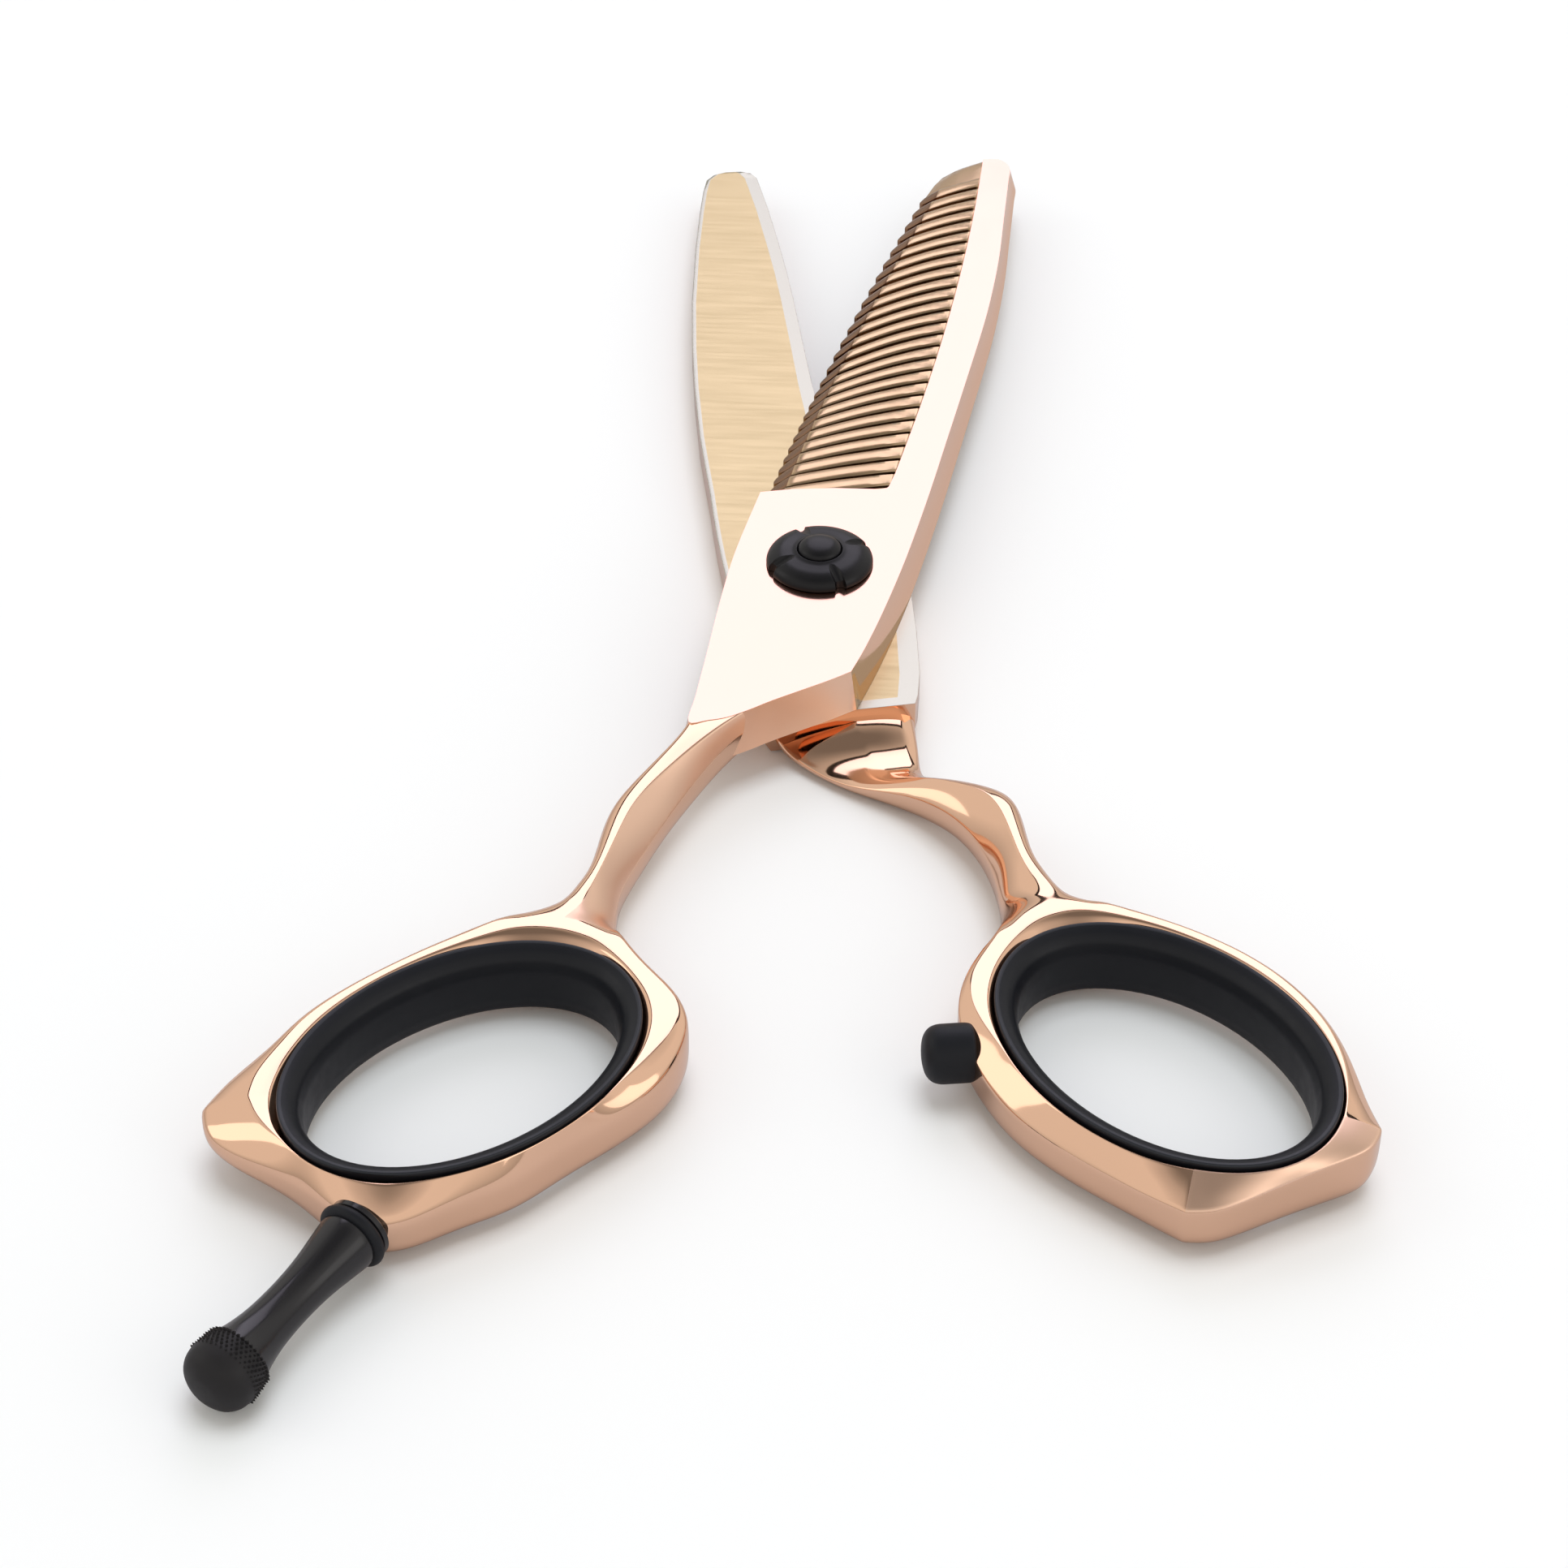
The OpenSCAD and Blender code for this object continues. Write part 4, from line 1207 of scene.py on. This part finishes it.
# ---------------------------------------------------------------- stage
class SHEARS_OT_stage(bpy.types.Operator):
    """Camera, floor and studio light"""

    bl_idname = "shears.stage"
    bl_label = "Stage"

    def execute(self, context):
        scene = context.scene
        s = scene.shears_stage
        scene.view_settings.view_transform = "Standard"
        camera = bpy.data.cameras.new("camera")
        camera.lens = 81.1
        camera.sensor_width = 36
        camera.clip_start, camera.clip_end = 0.01, 20
        camera.dof.use_dof = False
        eye = bpy.data.objects.new("camera", camera)
        eye.location = (0.01182, -0.24219, 0.17997)
        eye.rotation_mode = "QUATERNION"
        eye.rotation_quaternion = Vector((-0.0474, 0.7743, -0.6310)).to_track_quat("-Z", "Y")
        scene.collection.objects.link(eye)
        scene.camera = eye

        white, tree, shader, _ = new_material("stage_white")
        shader.inputs["Roughness"].default_value = 0.8
        # glossy rays see the floor a mid grey and the camera sees it white: painted shade on its reflection
        # in the gold
        ray = tree.nodes.new("ShaderNodeLightPath")
        mix = tree.nodes.new("ShaderNodeMix")
        mix.data_type = "RGBA"
        mix.inputs[6].default_value = (0.925, 0.94, 0.93, 1)
        mix.inputs[7].default_value = (0.6, 0.59, 0.6, 1)
        tree.links.new(ray.outputs["Is Glossy Ray"], mix.inputs[0])
        tree.links.new(mix.outputs[2], shader.inputs["Base Color"])
        mesh = bpy.data.meshes.new("floor")
        z = -0.0002
        mesh.from_pydata([(-3, -3, z), (3, -3, z), (3, 3, z), (-3, 3, z)], [], [(0, 1, 2, 3)])
        mesh.materials.append(white)
        floor = bpy.data.objects.new("floor", mesh)
        scene.collection.objects.link(floor)

        # the softbox behind the shears has a black rim, which draws the thin brown streaks in the gold
        rim, tree, shader, _ = new_material("stage_dark")
        shader.inputs["Base Color"].default_value = (0.012, 0.01, 0.009, 1)
        shader.inputs["Roughness"].default_value = 0.9
        wide, tall, band = 0.46, 0.5, 0.13
        corners = ((-1, -1), (1, -1), (1, 1), (-1, 1))
        verts = [(x * (wide + out), y * (tall + out), 0) for out in (band, 0) for x, y in corners]
        faces = [(i, (i + 1) % 4, 4 + (i + 1) % 4, 4 + i) for i in range(4)]
        mesh = bpy.data.meshes.new("softbox_rim")
        mesh.from_pydata(verts, [], faces)
        mesh.materials.append(rim)
        back = Vector((0.0, 1.17, 1.0))
        edging = bpy.data.objects.new("softbox_rim", mesh)
        edging.location = back * 0.995
        edging.rotation_mode = "QUATERNION"
        edging.rotation_quaternion = (-back).to_track_quat("-Z", "Y")
        edging.visible_camera = edging.visible_diffuse = edging.visible_shadow = False
        scene.collection.objects.link(edging)

        for name, power, place_at, size, tone, shiny in (
            ("back", s.back, back, (2 * wide, 2 * tall), (1, 0.93, 1.2), True),
            ("right", s.right, (1.2, -0.55, 0.55), (0.9, 0.7), (1, 0.97, 0.95), True),
            ("left", s.left, (-1.3, 0.1, 0.8), (0.5, 0.8), (1, 0.98, 0.96), True),
            ("fill", s.fill, (0.15, 0.1, 1.6), (1.0, 1.0), (0.94, 0.98, 1.04), False),
        ):
            light = bpy.data.lights.new(name, "AREA")
            light.shape = "RECTANGLE"
            light.size, light.size_y = size
            light.energy = power
            light.color = tone
            lamp = bpy.data.objects.new(name, light)
            lamp.location = place_at
            lamp.rotation_mode = "QUATERNION"
            lamp.rotation_quaternion = (-Vector(place_at)).to_track_quat("-Z", "Y")
            lamp.visible_glossy = shiny
            scene.collection.objects.link(lamp)

        world = bpy.data.worlds.new("room")
        world.use_nodes = True
        nodes, link = world.node_tree.nodes, world.node_tree.links.new
        background = nodes["Background"]
        background.inputs["Strength"].default_value = s.world
        # the room is dim low down and dark overhead, and brightest between
        place_node = nodes.new("ShaderNodeTexCoord")
        split = nodes.new("ShaderNodeSeparateXYZ")
        link(place_node.outputs["Generated"], split.inputs[0])
        ramp = nodes.new("ShaderNodeValToRGB")
        stops = ((0.0, 0.62), (0.1, 0.8), (0.35, 1.14), (0.7, 1.16), (0.88, 0.72), (0.97, 0.28))
        for index, (at, value) in enumerate(stops):
            stop = ramp.color_ramp.elements[index] if index < 2 else ramp.color_ramp.elements.new(at)
            stop.position = at
            stop.color = (value, value * 0.965, value * 0.92, 1)
        link(split.outputs["Z"], ramp.inputs["Fac"])
        link(ramp.outputs["Color"], background.inputs["Color"])
        scene.world = world
        return {"FINISHED"}


PIECES = (
    SHEARS_OT_comb_arm,
    SHEARS_OT_comb_blade,
    SHEARS_OT_comb_teeth,
    SHEARS_OT_cutting_arm,
    SHEARS_OT_cutting_blade,
    SHEARS_OT_inserts,
    SHEARS_OT_dial,
    SHEARS_OT_finger_rest,
    SHEARS_OT_bumper,
    SHEARS_OT_inner_parts,
    SHEARS_OT_stage,
)
SETTINGS = {
    "shears_blade": ShearsBladeSettings,
    "shears_handle": ShearsHandleSettings,
    "shears_fitting": ShearsFittingSettings,
    "shears_look": ShearsLookSettings,
    "shears_stage": ShearsStageSettings,
}


class SHEARS_PT_panel(bpy.types.Panel):
    bl_idname = "SHEARS_PT_panel"
    bl_label = "Thinning Shears"
    bl_space_type = "VIEW_3D"
    bl_region_type = "UI"
    bl_category = "Shears"

    def draw(self, context):
        for piece in PIECES:
            self.layout.operator(piece.bl_idname)
        for name, group in SETTINGS.items():
            box = self.layout.box()
            box.label(text=name)
            for key in group.__annotations__:
                box.prop(getattr(context.scene, name), key)


def register():
    for group in SETTINGS.values():
        bpy.utils.register_class(group)
    for name, group in SETTINGS.items():
        setattr(bpy.types.Scene, name, PointerProperty(type=group))
    for piece in PIECES:
        bpy.utils.register_class(piece)
    bpy.utils.register_class(SHEARS_PT_panel)


def unregister():
    bpy.utils.unregister_class(SHEARS_PT_panel)
    for piece in reversed(PIECES):
        bpy.utils.unregister_class(piece)
    for name in SETTINGS:
        delattr(bpy.types.Scene, name)
    for group in SETTINGS.values():
        bpy.utils.unregister_class(group)


def main():
    register()
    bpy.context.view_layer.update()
    for piece in PIECES:
        name = piece.bl_idname.split(".")[1]
        if getattr(bpy.ops.shears, name)() != {"FINISHED"}:
            raise RuntimeError(name + " was not built")
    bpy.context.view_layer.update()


if __name__ == "__main__":
    main()
